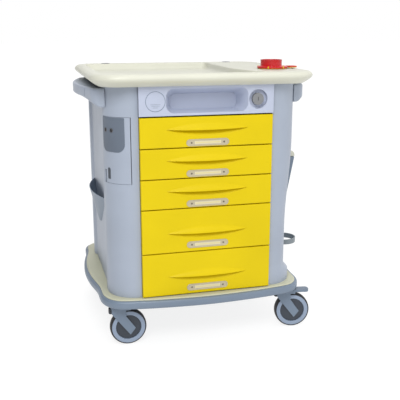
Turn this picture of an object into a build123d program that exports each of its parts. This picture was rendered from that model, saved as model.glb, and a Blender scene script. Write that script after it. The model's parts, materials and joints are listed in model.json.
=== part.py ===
"""Crash cart: a mobile emergency trolley with five drawers, a moulded worktop and four swivel casters.

Frame: millimetres, +Z up, X across the cart, -Y towards the person who opens the drawers.
The origin is on the floor under the middle of the cart.
"""
from build123d import *
import os
from math import cos, pi, radians, sin

os.makedirs("parts", exist_ok=True)

# ---- driving dimensions ------------------------------------------------------------------
WALL = 4.0                 # moulded shell thickness

DECK_Z = 180.0             # top of the cream base deck
DECK_PLATE_Z = 174.0       # underside of the deck, top of the bumper and of the base frame
BUMPER_Z = 148.0           # underside of the bumper ring
DRAWER_TOP_Z = 780.0       # top of the drawer stack
WORKTOP_Z = 876.0          # underside of the worktop
RIM_Z = 916.0              # top of the worktop's rim
SURFACE_Z = 892.0          # sunk work surface

DRAWER_FACE_Y = -320.0     # plane of the drawer fronts
BODY_Y = 306.0             # front and back faces of the columns are at -/+ this
BODY_X = 324.0             # outer sides of the columns
OPENING_X = 222.0          # half the clear width between the columns
COLUMN_FLAT = 8.0          # flat strip of each column beside the drawers
COLUMN_R = BODY_X - OPENING_X - COLUMN_FLAT    # rounded column corner
PANEL_STEP = 8.0           # how far the side panels are sunk between the columns
PANEL_Y = 178.0            # half length of the sunk side panel

WORKTOP_X = 368.0
WORKTOP_FRONT_Y = -360.0
WORKTOP_BACK_Y = 330.0

CASTER_X = 298.0
CASTER_Y = 260.0
TRAIL = 33.0
WHEEL_R = 62.5
WHEEL_HALF_WIDTH = 15.0

SMALL_DRAWER = 100.0
LARGE_DRAWER = 150.0
DRAWER_GAP = 3.0


def save(part, name):
    """Label a finished piece and write it as parts/NAME.step."""
    part.label = name
    export_step(part, f"parts/{name}.step")


# ---- base --------------------------------------------------------------------------------
BASE_FRONT_Y = -354.0
BASE_BACK_Y = 360.0
BASE_BULGE_X = 380.0
BULGE_Y = 30.0             # where the side bulge is widest
BASE_MIDDLE_Y = (BASE_FRONT_Y + BASE_BACK_Y) / 2
BASE_HALF_Y = (BASE_BACK_Y - BASE_FRONT_Y) / 2
BASE_RIGHT_SIDE = (
    (125, -348),
    (232, -336),
    (312, -316),
    (350, -262),
    (357, -165),
    (373, -70),
    (BASE_BULGE_X, BULGE_Y),
    (373, 130),
    (357, 225),
    (350, 300),
    (312, 342),
    (232, 354),
    (125, 359),
)


def base_outline(inset):
    """Closed smooth outline of the base, drawn in towards its middle by inset."""
    right = [(0, BASE_FRONT_Y), *BASE_RIGHT_SIDE, (0, BASE_BACK_Y)]
    left = [(-x, y) for x, y in reversed(BASE_RIGHT_SIDE)]
    across = 1 - inset / BASE_BULGE_X
    along = 1 - inset / BASE_HALF_Y
    drawn_in = [
        (x * across, BASE_MIDDLE_Y + (y - BASE_MIDDLE_Y) * along) for x, y in right + left
    ]
    Spline(*drawn_in, periodic=True)


def base_plate(z, height, inset):
    """Extrude the base outline, drawn in by inset, from z upwards."""
    with BuildPart() as plate:
        with BuildSketch(Plane.XY.offset(z)):
            with BuildLine():
                base_outline(inset)
            make_face()
        extrude(amount=height)
    return plate.part


RING = 18.0                # bumper ring thickness
with BuildPart() as base_bumper:
    add(base_plate(BUMPER_Z, DECK_PLATE_Z - BUMPER_Z, 0))
    add(base_plate(BUMPER_Z, DECK_PLATE_Z - BUMPER_Z, RING), mode=Mode.SUBTRACT)
save(base_bumper.part, "base_bumper")

STEM_R = 11.0
with BuildPart() as base_deck:
    add(base_plate(DECK_PLATE_Z, DECK_Z - DECK_PLATE_Z, 3))
save(base_deck.part, "base_deck")

caster_spots = [(x, y) for x in (-CASTER_X, CASTER_X) for y in (-CASTER_Y, CASTER_Y)]
PAN_Z = 170.0              # underside of the flat pan that lies under the deck
with BuildPart() as base_pan:
    add(base_plate(PAN_Z, DECK_PLATE_Z - PAN_Z, RING + 0.5))
save(base_pan.part, "base_pan")

# Steel bars under the pan, with a boss for each caster stem.
FRAME_Z = 150.0
BOSS_R = 27.0
BAR = 40.0
CROSS_BAR = 30.0
BAR_X = 150.0
BAR_LENGTH = 560.0
with BuildPart() as base_frame:
    with BuildSketch(Plane.XY.offset(FRAME_Z)):
        with Locations((-BAR_X, 0), (BAR_X, 0)):
            Rectangle(BAR, BAR_LENGTH)
        with Locations((0, -CASTER_Y), (0, CASTER_Y)):
            Rectangle(2 * CASTER_X, CROSS_BAR)
        with Locations(*caster_spots):
            Circle(BOSS_R)
        with Locations(*caster_spots):
            Circle(STEM_R, mode=Mode.SUBTRACT)
    extrude(amount=PAN_Z - FRAME_Z)
save(base_frame.part, "base_frame")

# ---- side shells -------------------------------------------------------------------------
# The right shell has a waist, so that a gas cylinder can stand beside it.
# Each row: height, half width there.
STRAIGHT = ((DECK_Z, BODY_X), (WORKTOP_Z, BODY_X))
WAISTED = (
    (DECK_Z, BODY_X),
    (222, BODY_X - 2),
    (238, 300),
    (383, 299),
    (470, 304),
    (560, 316),
    (670, BODY_X),
    (WORKTOP_Z, BODY_X),
)


def quarter_arc(centre, radius, start_deg):
    """Quarter circle in the XY plane, counter-clockwise from start_deg."""
    ends = [
        (centre[0] + radius * cos(radians(a)), centre[1] + radius * sin(radians(a)))
        for a in (start_deg, start_deg + 45, start_deg + 90)
    ]
    ThreePointArc(*ends)


def shell_section(z, side, half_width, inset):
    """Closed D-shaped section of a side shell at height z, pulled in by inset all round."""
    inner = OPENING_X + inset
    front = BODY_Y - inset
    outer = half_width - inset
    radius = half_width - OPENING_X - COLUMN_FLAT - inset
    panel = outer - PANEL_STEP
    step = PANEL_Y + 0.414 * inset
    with BuildSketch(Plane.XY.offset(z)) as section:
        with BuildLine():
            Line((side * inner, -front), (side * (outer - radius), -front))
            quarter_arc((side * (outer - radius), -front + radius), radius, 270 if side > 0 else 180)
            Polyline(
                (side * outer, -front + radius),
                (side * outer, -step - PANEL_STEP),
                (side * panel, -step),
                (side * panel, step),
                (side * outer, step + PANEL_STEP),
                (side * outer, front - radius),
            )
            quarter_arc((side * (outer - radius), front - radius), radius, 0 if side > 0 else 90)
            Polyline(
                (side * (outer - radius), front),
                (side * inner, front),
                (side * inner, -front),
            )
        make_face()
    return section.sketch


def side_shell(side, profile):
    """Hollow shell: one loft through the outer sections less one through the inner sections."""
    with BuildPart() as shell:
        loft([shell_section(z, side, x, 0).face() for z, x in profile], ruled=True)
        loft([shell_section(z, side, x, WALL).face() for z, x in profile], ruled=True, mode=Mode.SUBTRACT)
    return shell.part


# ---- column hatch (left front column) ----------------------------------------------------
HATCH_LOW_Z = 567.0
HATCH_HIGH_Z = 780.0
HATCH_GAP = 1.0
HATCH_FRONT_DEG = 11.0     # angles on the column corner: 0 faces -Y, 90 faces -X
HATCH_SIDE_DEG = 82.0
CORNER_X = -(OPENING_X + COLUMN_FLAT)
CORNER_Y = -(BODY_Y - COLUMN_R)
HINGE_X = CORNER_X - COLUMN_R * sin(radians(HATCH_FRONT_DEG)) - 1.5
HINGE_Y = CORNER_Y - COLUMN_R * cos(radians(HATCH_FRONT_DEG)) + 1.7
PIN_R = 1.2
PIN_HOLE_R = 1.25


def corner_point(radius, degrees):
    """Point on the left column's corner at a radius and an angle from straight ahead."""
    a = radians(degrees)
    return (CORNER_X - radius * sin(a), CORNER_Y - radius * cos(a))


def corner_band(inner_r, outer_r, start_deg, end_deg, low_z, high_z):
    """Solid band between two radii and two angles of the corner."""
    middle = (start_deg + end_deg) / 2
    with BuildPart() as band:
        with BuildSketch(Plane.XY.offset(low_z)):
            with BuildLine():
                ThreePointArc(
                    corner_point(outer_r, start_deg),
                    corner_point(outer_r, middle),
                    corner_point(outer_r, end_deg),
                )
                Line(corner_point(outer_r, end_deg), corner_point(inner_r, end_deg))
                ThreePointArc(
                    corner_point(inner_r, end_deg),
                    corner_point(inner_r, middle),
                    corner_point(inner_r, start_deg),
                )
                Line(corner_point(inner_r, start_deg), corner_point(outer_r, start_deg))
            make_face()
        extrude(amount=high_z - low_z)
    return band.part


DEG_PER_MM = 180 / (pi * COLUMN_R)
hatch_opening = corner_band(
    COLUMN_R - 8,
    COLUMN_R + 8,
    HATCH_FRONT_DEG - 2.0 * DEG_PER_MM,
    HATCH_SIDE_DEG + HATCH_GAP * DEG_PER_MM,
    HATCH_LOW_Z - HATCH_GAP,
    HATCH_HIGH_Z + HATCH_GAP,
)
with BuildPart() as left_side_shell:
    add(side_shell(-1, STRAIGHT))
    add(hatch_opening, mode=Mode.SUBTRACT)
    with Locations((HINGE_X, HINGE_Y, HATCH_LOW_Z - 9), (HINGE_X, HINGE_Y, HATCH_HIGH_Z)):
        Cylinder(PIN_HOLE_R, 9, align=(Align.CENTER, Align.CENTER, Align.MIN), mode=Mode.SUBTRACT)
save(left_side_shell.part, "left_side_shell")

with BuildPart() as right_side_shell:
    add(side_shell(1, WAISTED))
save(right_side_shell.part, "right_side_shell")

# Two lock barrels turn in the hatch; each plane looks outwards from the column's face.
BARREL_Z = 738.0
BARREL_R = 5.0
BARREL_BORE_R = BARREL_R + 0.05
BARREL_DEPTH = 12.0
BARREL_DEGS = (67.0, 50.0)
barrel_planes = []
for barrel_deg in BARREL_DEGS:
    barrel_x, barrel_y = corner_point(COLUMN_R, barrel_deg)
    outward = (-sin(radians(barrel_deg)), -cos(radians(barrel_deg)), 0)
    barrel_planes.append(Plane(origin=(barrel_x, barrel_y, BARREL_Z), x_dir=(0, 0, 1), z_dir=outward))


def barrel_bores():
    """The two round bores that the lock barrels turn in."""
    with BuildPart() as bores:
        for plane in barrel_planes:
            with BuildSketch(plane):
                Circle(BARREL_BORE_R)
            extrude(amount=BARREL_DEPTH, both=True)
    return bores.part


# The hatch follows the column's corner; a cable notch is cut in its lower free corner.
NOTCH_DEGS = (70.0, 77.0)
NOTCH_HIGH_Z = 609.0
with BuildPart() as column_hatch:
    add(corner_band(COLUMN_R - WALL, COLUMN_R, HATCH_FRONT_DEG, HATCH_SIDE_DEG, HATCH_LOW_Z, HATCH_HIGH_Z))
    add(
        corner_band(COLUMN_R - 8, COLUMN_R + 8, *NOTCH_DEGS, HATCH_LOW_Z - 1, NOTCH_HIGH_Z),
        mode=Mode.SUBTRACT,
    )
    with Locations((HINGE_X, HINGE_Y, HATCH_LOW_Z - 8), (HINGE_X, HINGE_Y, HATCH_HIGH_Z - 1)):
        Cylinder(PIN_R, 9, align=(Align.CENTER, Align.CENTER, Align.MIN))
    add(barrel_bores(), mode=Mode.SUBTRACT)
save(column_hatch.part, "column_hatch")

# Lock plate on the upper half of the hatch.
PLATE_THICK = 1.6
PLATE_LOW_Z = 669.0
PLATE_DEGS = (22.0, 79.0)
with BuildPart() as hatch_lock_plate:
    add(corner_band(COLUMN_R, COLUMN_R + PLATE_THICK, *PLATE_DEGS, PLATE_LOW_Z, HATCH_HIGH_Z - 1))
    add(barrel_bores(), mode=Mode.SUBTRACT)
save(hatch_lock_plate.part, "hatch_lock_plate")

BARREL_PROUD = PLATE_THICK + 0.6
CAM_LENGTH = 22.0
for plane, barrel_name in zip(barrel_planes, ("outer_lock_barrel", "inner_lock_barrel")):
    with BuildPart() as lock_barrel:
        with BuildSketch(plane.offset(-BARREL_DEPTH)):
            Circle(BARREL_R)
        extrude(amount=BARREL_DEPTH + BARREL_PROUD)
        with BuildSketch(plane.offset(BARREL_PROUD - 4)):
            Rectangle(6, 1.4)
        extrude(amount=5, mode=Mode.SUBTRACT)
        with BuildSketch(plane.offset(-BARREL_DEPTH)):
            Rectangle(CAM_LENGTH, 8)
        extrude(amount=3)
    save(lock_barrel.part, barrel_name)

# ---- back panel --------------------------------------------------------------------------
BACK_FACE_Y = BODY_Y - 4
PAD_X = 360.0              # the back is stiffened by three raised pads
PAD_Z = 190.0
PAD_HEIGHTS = (300.0, 530.0, 760.0)
with BuildPart() as back_panel:
    with BuildSketch(Plane.XY.offset(DECK_Z)):
        with Locations((0, BACK_FACE_Y - WALL / 2)):
            Rectangle(2 * OPENING_X, WALL)
    extrude(amount=WORKTOP_Z - DECK_Z)
    with BuildSketch(Plane.XZ.offset(-BACK_FACE_Y)):
        with Locations(*[(0, z) for z in PAD_HEIGHTS]):
            RectangleRounded(PAD_X, PAD_Z, 12)
    extrude(amount=-3)
save(back_panel.part, "back_panel")

# ---- fascia under the worktop ------------------------------------------------------------
FASCIA_LOW_Z = 783.0
FASCIA_X = OPENING_X
FASCIA_FACE_Y = -318.0
FASCIA_THICK = 6.0
TUB_MID_Z = 830.0
TUB_MOUTH = (270.0, 78.0, 26.0)      # width, height and corner radius at the mouth
TUB_BACK = (224.0, 50.0, 18.0)       # the same at the back, which sits TUB_DROP lower
TUB_DROP = 8.0
TUB_DEPTH = 58.0
TUB_WALL = 3.0
DIAL_X = 169.0
DIAL_Z = 829.0
DIAL_R = 31.0
DIAL_WALL = 3.0
DIAL_DEPTH = 14.0
CAP_THICK = 4.0
SPINDLE_R = 4.0

mouth_plane = Plane(origin=(0, FASCIA_FACE_Y, TUB_MID_Z), x_dir=(1, 0, 0), z_dir=(0, 1, 0))


dial_y = TUB_MID_Z - DIAL_Z          # the mouth plane's own Y runs downwards
left_dial = (-DIAL_X, dial_y)
right_dial = (DIAL_X, dial_y)


def tub(margin):
    """Drafted tub behind the fascia, grown by margin all round."""
    grow = (2 * margin, 2 * margin, margin)
    with BuildPart() as tub_part:
        with BuildSketch(mouth_plane):
            RectangleRounded(*[size + more for size, more in zip(TUB_MOUTH, grow)])
        with BuildSketch(mouth_plane.offset(TUB_DEPTH + margin)):
            with Locations((0, TUB_DROP)):
                RectangleRounded(*[size + more for size, more in zip(TUB_BACK, grow)])
        loft(ruled=True)
    return tub_part.part


def fascia_disc(spot, radius, start, depth):
    """Disc behind the fascia's face, from start to start + depth."""
    with BuildPart() as disc:
        with BuildSketch(mouth_plane.offset(start)):
            with Locations(spot):
                Circle(radius)
        extrude(amount=depth)
    return disc.part


with BuildPart() as front_fascia:
    with BuildSketch(mouth_plane):
        with Locations((0, TUB_MID_Z - (FASCIA_LOW_Z + WORKTOP_Z) / 2)):
            Rectangle(2 * FASCIA_X, WORKTOP_Z - FASCIA_LOW_Z)
    extrude(amount=FASCIA_THICK)
    for dial in (left_dial, right_dial):
        add(fascia_disc(dial, DIAL_R + DIAL_WALL, 0, DIAL_DEPTH + DIAL_WALL))
    add(tub(TUB_WALL))
    add(tub(0), mode=Mode.SUBTRACT)
    add(fascia_disc(right_dial, DIAL_R, 0, DIAL_DEPTH), mode=Mode.SUBTRACT)
    add(fascia_disc(left_dial, DIAL_R, 0, CAP_THICK), mode=Mode.SUBTRACT)
    add(fascia_disc(right_dial, SPINDLE_R + 0.05, 0, DIAL_DEPTH + 6), mode=Mode.SUBTRACT)
save(front_fascia.part, "front_fascia")

with BuildPart() as fascia_blank_cap:
    add(fascia_disc(left_dial, DIAL_R, 0, CAP_THICK))
save(fascia_blank_cap.part, "fascia_blank_cap")

KNOB_R = 19.0
with BuildPart() as lock_knob:
    add(fascia_disc(right_dial, KNOB_R, 1, 12))
    add(fascia_disc(right_dial, SPINDLE_R, 1, 22))
    with BuildSketch(mouth_plane.offset(18)):
        with Locations((DIAL_X, dial_y + 11)):
            Rectangle(10, 30)
    extrude(amount=4)
    with BuildSketch(mouth_plane.offset(1)):
        with Locations(right_dial):
            Rectangle(2, 11)
    extrude(amount=5, mode=Mode.SUBTRACT)
save(lock_knob.part, "lock_knob")

# ---- drawers -----------------------------------------------------------------------------
DRAWER_X = 220.5
FRONT_THICK = 20.0
TRAY_X = 196.0
TRAY_LENGTH = 560.0
TRAY_WALL = 2.5
FLANGE_X = 208.0
FLANGE = 3.0
FLANGE_CLEAR = 0.4
RUNNER_X = 203.0
SCOOP_X = 135.0
SCOOP_DROP = 24.0
SCOOP_DEPTH = 12.0
LIP_DROP = {SMALL_DRAWER: 40.0, LARGE_DRAWER: 82.0}      # lip below the top of its drawer
LABEL_DROP = {SMALL_DRAWER: 84.0, LARGE_DRAWER: 125.0}   # label centre below the top
HOLDER_X = 71.5
HOLDER_Z = 11.5            # half height of the label holder
HOLDER_THICK = 3.0


def drawer_plan():
    """Bottom height and nominal height of each drawer, from the top one down."""
    rows = []
    top = DRAWER_TOP_Z
    for height in (SMALL_DRAWER, SMALL_DRAWER, SMALL_DRAWER, LARGE_DRAWER, LARGE_DRAWER):
        rows.append((top - height, height))
        top -= height
    return rows


flange_heights = []
for number, (bottom, height) in enumerate(drawer_plan(), start=1):
    low = bottom + DRAWER_GAP / 2 + (1 if number == 5 else 0)
    high = bottom + height - DRAWER_GAP / 2
    lip = bottom + height - LIP_DROP[height]
    label_z = bottom + height - LABEL_DROP[height]
    face = Plane(origin=(0, DRAWER_FACE_Y, 0), x_dir=(1, 0, 0), z_dir=(0, -1, 0))

    with BuildPart() as drawer_front:
        with BuildSketch(face):
            with Locations((0, (low + high) / 2)):
                Rectangle(2 * DRAWER_X, high - low)
        extrude(amount=-FRONT_THICK)
        outer_edges = drawer_front.faces().sort_by(Axis.Y)[0].edges()
        fillet(outer_edges, 3)
        # finger scoop: a lens cut below the lip line
        with BuildSketch(face):
            with BuildLine():
                ThreePointArc((-SCOOP_X, lip), (0, lip - SCOOP_DROP), (SCOOP_X, lip))
                Line((SCOOP_X, lip), (-SCOOP_X, lip))
            make_face()
        extrude(amount=-SCOOP_DEPTH, mode=Mode.SUBTRACT)
        with BuildSketch(face):
            with Locations((0, label_z)):
                SlotOverall(2 * HOLDER_X + 0.6, 2 * HOLDER_Z + 0.6)
        extrude(amount=-1, mode=Mode.SUBTRACT)
    save(drawer_front.part, f"drawer_front_{number}")

    with BuildPart() as label_holder:
        with BuildSketch(face.offset(-1)):
            with Locations((0, label_z)):
                SlotOverall(2 * HOLDER_X, 2 * HOLDER_Z)
        extrude(amount=HOLDER_THICK)
    save(label_holder.part, f"label_holder_{number}")

    tray_top = high - 16
    tray_height = height - 30
    tray_front_y = DRAWER_FACE_Y + FRONT_THICK
    flange_heights.append(tray_top - FLANGE)
    with BuildPart() as drawer_tray:
        with BuildSketch(Plane.XY.offset(tray_top - tray_height)):
            with Locations((0, tray_front_y + TRAY_LENGTH / 2)):
                Rectangle(2 * TRAY_X, TRAY_LENGTH)
        extrude(amount=tray_height)
        with BuildSketch(Plane.XY.offset(tray_top - FLANGE)):
            with Locations((0, tray_front_y + TRAY_LENGTH / 2)):
                Rectangle(2 * FLANGE_X, TRAY_LENGTH)
        extrude(amount=FLANGE)
        with BuildSketch(Plane.XY.offset(tray_top - tray_height + TRAY_WALL)):
            with Locations((0, tray_front_y + TRAY_LENGTH / 2)):
                Rectangle(2 * (TRAY_X - TRAY_WALL), TRAY_LENGTH - 2 * TRAY_WALL)
        extrude(amount=tray_height, mode=Mode.SUBTRACT)
    save(drawer_tray.part, f"drawer_tray_{number}")

RUNNER_LENGTH = 570.0
with BuildPart() as cabinet_runners:
    for side in (-1, 1):
        for flange_z in flange_heights:
            section = Plane(origin=(0, DRAWER_FACE_Y + FRONT_THICK + 4, 0), x_dir=(1, 0, 0), z_dir=(0, -1, 0))
            with BuildSketch(section):
                with Locations((side * (RUNNER_X + OPENING_X) / 2, flange_z + FLANGE / 2)):
                    Rectangle(OPENING_X - RUNNER_X, 16)
                with Locations((side * (RUNNER_X + FLANGE_X + 0.5) / 2, flange_z + FLANGE / 2)):
                    Rectangle(
                        FLANGE_X + 0.5 - RUNNER_X,
                        FLANGE + 2 * FLANGE_CLEAR,
                        mode=Mode.SUBTRACT,
                    )
            extrude(amount=-RUNNER_LENGTH)
save(cabinet_runners.part, "cabinet_runners")

# ---- worktop -----------------------------------------------------------------------------
SHARPS_X = 269.0
SHARPS_Y = -170.0
SHARPS_HOLE_R = 43.0
SOCKET_X = 245.0
SOCKET_Y = 300.0
SOCKET_R = 12.5
SOCKET_OUTER_R = 17.0
SOCKET_DEPTH = 36.0
WORKTOP_CORNER_R = 92.0
RECESS_INSET = 38.0        # the recess starts this far inside the front and left edges
RECESS_BACK = 50.0
RECESS_R = 52.0
RIM_PROFILE = (            # height, inset of the worktop's outline there
    (WORKTOP_Z, 30),
    (887, 13),
    (897, 1),
    (903, 0),
    (911, 4),
    (RIM_Z, 12),
)


def worktop_section(z, inset):
    """Rounded rectangle of the worktop at height z, pulled in by inset."""
    with BuildSketch(Plane.XY.offset(z)) as section:
        with Locations((0, (WORKTOP_FRONT_Y + WORKTOP_BACK_Y) / 2)):
            RectangleRounded(
                2 * (WORKTOP_X - inset),
                WORKTOP_BACK_Y - WORKTOP_FRONT_Y - 2 * inset,
                WORKTOP_CORNER_R - inset,
            )
    return section.sketch.face()


recess_left = -(WORKTOP_X - RECESS_INSET)
recess_front = WORKTOP_FRONT_Y + RECESS_INSET
recess_back = WORKTOP_BACK_Y - RECESS_BACK
with BuildPart() as worktop:
    loft([worktop_section(z, inset) for z, inset in RIM_PROFILE], ruled=True)
    # sunk work surface, all but the raised platform along the right side
    with BuildSketch(Plane.XY.offset(SURFACE_Z)):
        with BuildLine():
            Spline(
                (160, recess_back),
                (146, 100),
                (142, -120),
                (170, -250),
                (240, recess_front + 6),
                tangents=((0, -1), (1, -0.2)),
            )
            Polyline(
                (240, recess_front + 6),
                (240, recess_front),
                (recess_left + RECESS_R, recess_front),
            )
            quarter_arc((recess_left + RECESS_R, recess_front + RECESS_R), RECESS_R, 180)
            Line((recess_left, recess_front + RECESS_R), (recess_left, recess_back - RECESS_R))
            quarter_arc((recess_left + RECESS_R, recess_back - RECESS_R), RECESS_R, 90)
            Line((recess_left + RECESS_R, recess_back), (160, recess_back))
        make_face()
    extrude(amount=RIM_Z - SURFACE_Z + 1, mode=Mode.SUBTRACT)
    with Locations((SHARPS_X, SHARPS_Y, WORKTOP_Z)):
        Cylinder(SHARPS_HOLE_R + 3, 100, mode=Mode.SUBTRACT)
    with Locations((-SOCKET_X, SOCKET_Y, WORKTOP_Z), (SOCKET_X, SOCKET_Y, WORKTOP_Z)):
        Cylinder(SOCKET_OUTER_R, 90, mode=Mode.SUBTRACT)
save(worktop.part, "worktop")

with BuildPart() as worktop_sockets:
    with Locations((-SOCKET_X, SOCKET_Y, WORKTOP_Z), (SOCKET_X, SOCKET_Y, WORKTOP_Z)):
        Cylinder(SOCKET_OUTER_R, RIM_Z - WORKTOP_Z, align=(Align.CENTER, Align.CENTER, Align.MIN))
    with Locations((-SOCKET_X, SOCKET_Y, RIM_Z), (SOCKET_X, SOCKET_Y, RIM_Z)):
        Cylinder(SOCKET_R, 2 * SOCKET_DEPTH, mode=Mode.SUBTRACT)
save(worktop_sockets.part, "worktop_sockets")

# ---- sharps container --------------------------------------------------------------------
with BuildPart() as sharps_collar:
    with Locations((SHARPS_X, SHARPS_Y, WORKTOP_Z)):
        Cylinder(SHARPS_HOLE_R + 3, RIM_Z - WORKTOP_Z, align=(Align.CENTER, Align.CENTER, Align.MIN))
        Cylinder(SHARPS_HOLE_R, 200, mode=Mode.SUBTRACT)
save(sharps_collar.part, "sharps_collar")

CONTAINER_R = 41.0
CONTAINER_FLANGE_R = 51.0
CONTAINER_LOW_Z = 740.0
LID_LOW_Z = RIM_Z + 1.5
with BuildPart() as sharps_container:
    with BuildSketch(Plane.XY.offset(CONTAINER_LOW_Z)):
        with Locations((SHARPS_X, SHARPS_Y)):
            Circle(CONTAINER_R - 4)
    with BuildSketch(Plane.XY.offset(LID_LOW_Z)):
        with Locations((SHARPS_X, SHARPS_Y)):
            Circle(CONTAINER_R)
    loft()
    with BuildSketch(Plane.XY.offset(RIM_Z)):
        with Locations((SHARPS_X, SHARPS_Y)):
            Circle(CONTAINER_FLANGE_R)
    extrude(amount=LID_LOW_Z - RIM_Z)
    with BuildSketch(Plane.XY.offset(CONTAINER_LOW_Z + 2)):
        with Locations((SHARPS_X, SHARPS_Y)):
            Circle(CONTAINER_R - 6)
    with BuildSketch(Plane.XY.offset(LID_LOW_Z + 0.5)):
        with Locations((SHARPS_X, SHARPS_Y)):
            Circle(CONTAINER_R - 2)
    loft(mode=Mode.SUBTRACT)
save(sharps_container.part, "sharps_container")

LID_R = 52.0
LID_THICK = 7.0
PORT_X = SHARPS_X - 4
PORT_R = 36.0
PORT_WALL = 2.5
PORT_TOP_Z = 946.0
with BuildPart() as sharps_lid:
    with BuildSketch(Plane.XY.offset(LID_LOW_Z)):
        with Locations((SHARPS_X, SHARPS_Y)):
            Circle(LID_R)
    extrude(amount=LID_THICK)
    with BuildSketch(Plane.XY.offset(LID_LOW_Z)):
        with Locations((PORT_X, SHARPS_Y)):
            Circle(PORT_R)
    extrude(amount=PORT_TOP_Z - LID_LOW_Z)
    with BuildSketch(Plane.XY.offset(LID_LOW_Z)):
        with Locations((PORT_X, SHARPS_Y)):
            Circle(PORT_R - PORT_WALL)
    extrude(amount=60, mode=Mode.SUBTRACT)
save(sharps_lid.part, "sharps_lid")

# closing flap: a tongue on the lid's edge that turns up about a film hinge along its top edge
FLAP_HINGE_X = SHARPS_X + LID_R + 0.4
FLAP_LENGTH = 33.0
FLAP_WIDTH = 44.0
with BuildPart() as sharps_flap:
    with BuildSketch(Plane.XY.offset(LID_LOW_Z + 1)):
        with Locations((FLAP_HINGE_X + FLAP_LENGTH / 2, SHARPS_Y)):
            RectangleRounded(FLAP_LENGTH, FLAP_WIDTH, 10)
    extrude(amount=LID_THICK - 1)
save(sharps_flap.part, "sharps_flap")

# ---- push handles ------------------------------------------------------------------------
HANDLE_LOW_Z = 808.0
HANDLE_HIGH_Z = 868.0
HANDLE_SHELL = 12.0        # thickness of the band you grip
HANDLE_TOP = 8.0           # thickness of its top
HANDLE_X = 393.5           # half width over both handles at their middles
HANDLE_SHOULDER_X = 362.0
HANDLE_HALF_Y = 252.0
SHOULDER_LENGTH = 38.0
HANDLE_ROOT_X = BODY_X - PANEL_STEP


def handle_outline(side, inset):
    """Bow from the column out to its widest and back again."""
    shoulder = HANDLE_SHOULDER_X - inset
    half = HANDLE_HALF_Y - inset
    bend = half - SHOULDER_LENGTH
    start = BODY_X + 4
    with BuildSketch(Plane.XY.offset(HANDLE_LOW_Z)) as outline:
        with BuildLine():
            Polyline(
                (side * start, half),
                (side * HANDLE_ROOT_X, half),
                (side * HANDLE_ROOT_X, -half),
                (side * start, -half),
            )
            ThreePointArc(
                (side * start, -half),
                (side * (shoulder - 8), -half + 10),
                (side * shoulder, -bend),
            )
            ThreePointArc(
                (side * shoulder, -bend),
                (side * (HANDLE_X - inset), 0),
                (side * shoulder, bend),
            )
            ThreePointArc(
                (side * shoulder, bend),
                (side * (shoulder - 8), half - 10),
                (side * start, half),
            )
        make_face()
    return outline.sketch


def body_core(profile, side):
    """Solid outer form of one side shell, used to trim what is fixed against it."""
    with BuildPart() as core:
        loft([shell_section(z, side, x, 0).face() for z, x in profile], ruled=True)
    return core.part


for side, profile, handle_name in ((-1, STRAIGHT, "left_push_handle"), (1, WAISTED, "right_push_handle")):
    with BuildPart() as push_handle:
        add(handle_outline(side, 0))
        extrude(amount=HANDLE_HIGH_Z - HANDLE_LOW_Z)
        add(handle_outline(side, HANDLE_SHELL))
        extrude(amount=HANDLE_HIGH_Z - HANDLE_LOW_Z - HANDLE_TOP, mode=Mode.SUBTRACT)
        add(body_core(profile, side), mode=Mode.SUBTRACT)
    save(push_handle.part, handle_name)

# ---- left document pocket ----------------------------------------------------------------
POCKET_LOW_Z = 372.0
POCKET_TOP_Z = 492.0
POCKET_DEPTH = 36.0
POCKET_HALF_Y = 172.0
TIP_DEPTH = 6.0
TIP_HALF_Y = 18.0
POCKET_WALL = 3.0
LEFT_PANEL_X = -(BODY_X - PANEL_STEP)


def pocket_section(z, half_y, depth):
    """Bow-shaped section of the pocket: an arc that stands off the side panel."""
    with BuildSketch(Plane.XY.offset(z)) as section:
        with BuildLine():
            ThreePointArc((LEFT_PANEL_X, -half_y), (LEFT_PANEL_X - depth, 0), (LEFT_PANEL_X, half_y))
            Line((LEFT_PANEL_X, half_y), (LEFT_PANEL_X, -half_y))
        make_face()
    return section.sketch.face()


def pocket_solid(margin):
    """Wedge, drawn in by margin, that is widest at its rim and narrows low on the panel."""
    rim = pocket_section(POCKET_TOP_Z, POCKET_HALF_Y - margin, POCKET_DEPTH - margin)
    tip = pocket_section(POCKET_LOW_Z + margin, TIP_HALF_Y - margin / 2, TIP_DEPTH - margin / 2)
    with BuildPart() as wedge:
        loft([rim, tip], ruled=True)
    return wedge.part


with BuildPart() as left_pocket:
    add(pocket_solid(0))
    add(pocket_solid(POCKET_WALL), mode=Mode.SUBTRACT)
save(left_pocket.part, "left_pocket")

# ---- right side bin and its lid ----------------------------------------------------------
BIN_Y = 170.0
BIN_WALL = 3.0
BIN_LID_Z = 605.0
BIN_PIN_X = 327.0
BIN_PIN_Z = 608.5
BIN_PIN_R = 2.0
bin_plane = Plane(origin=(0, -BIN_Y, 0), x_dir=(1, 0, 0), z_dir=(0, 1, 0))
# outer and inner outlines, x and z, of the wedge that follows the waist of the shell
bin_outline = ((322, 604), (322, 560), (301, 470), (301, 308), (305, 304), (362, 604))
bin_hollow = ((325, 606), (325, 560), (304, 470), (304, 326), (306, 326), (359, 606))
with BuildPart() as side_bin:
    with BuildSketch(bin_plane):
        with BuildLine():
            Polyline(*[(x, -z) for x, z in bin_outline], close=True)
        make_face()
    extrude(amount=2 * BIN_Y)
    with BuildSketch(bin_plane.offset(BIN_WALL)):
        with BuildLine():
            Polyline(*[(x, -z) for x, z in bin_hollow], close=True)
        make_face()
    extrude(amount=2 * (BIN_Y - BIN_WALL), mode=Mode.SUBTRACT)
    # an ear at each end carries the lid's pins
    for ear_offset in (0, 2 * BIN_Y - BIN_WALL):
        with BuildSketch(bin_plane.offset(ear_offset)):
            with Locations((BIN_PIN_X, -606)):
                Rectangle(10, 14)
            with Locations((BIN_PIN_X, -BIN_PIN_Z)):
                Circle(BIN_PIN_R + 0.05, mode=Mode.SUBTRACT)
        extrude(amount=BIN_WALL)
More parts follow.
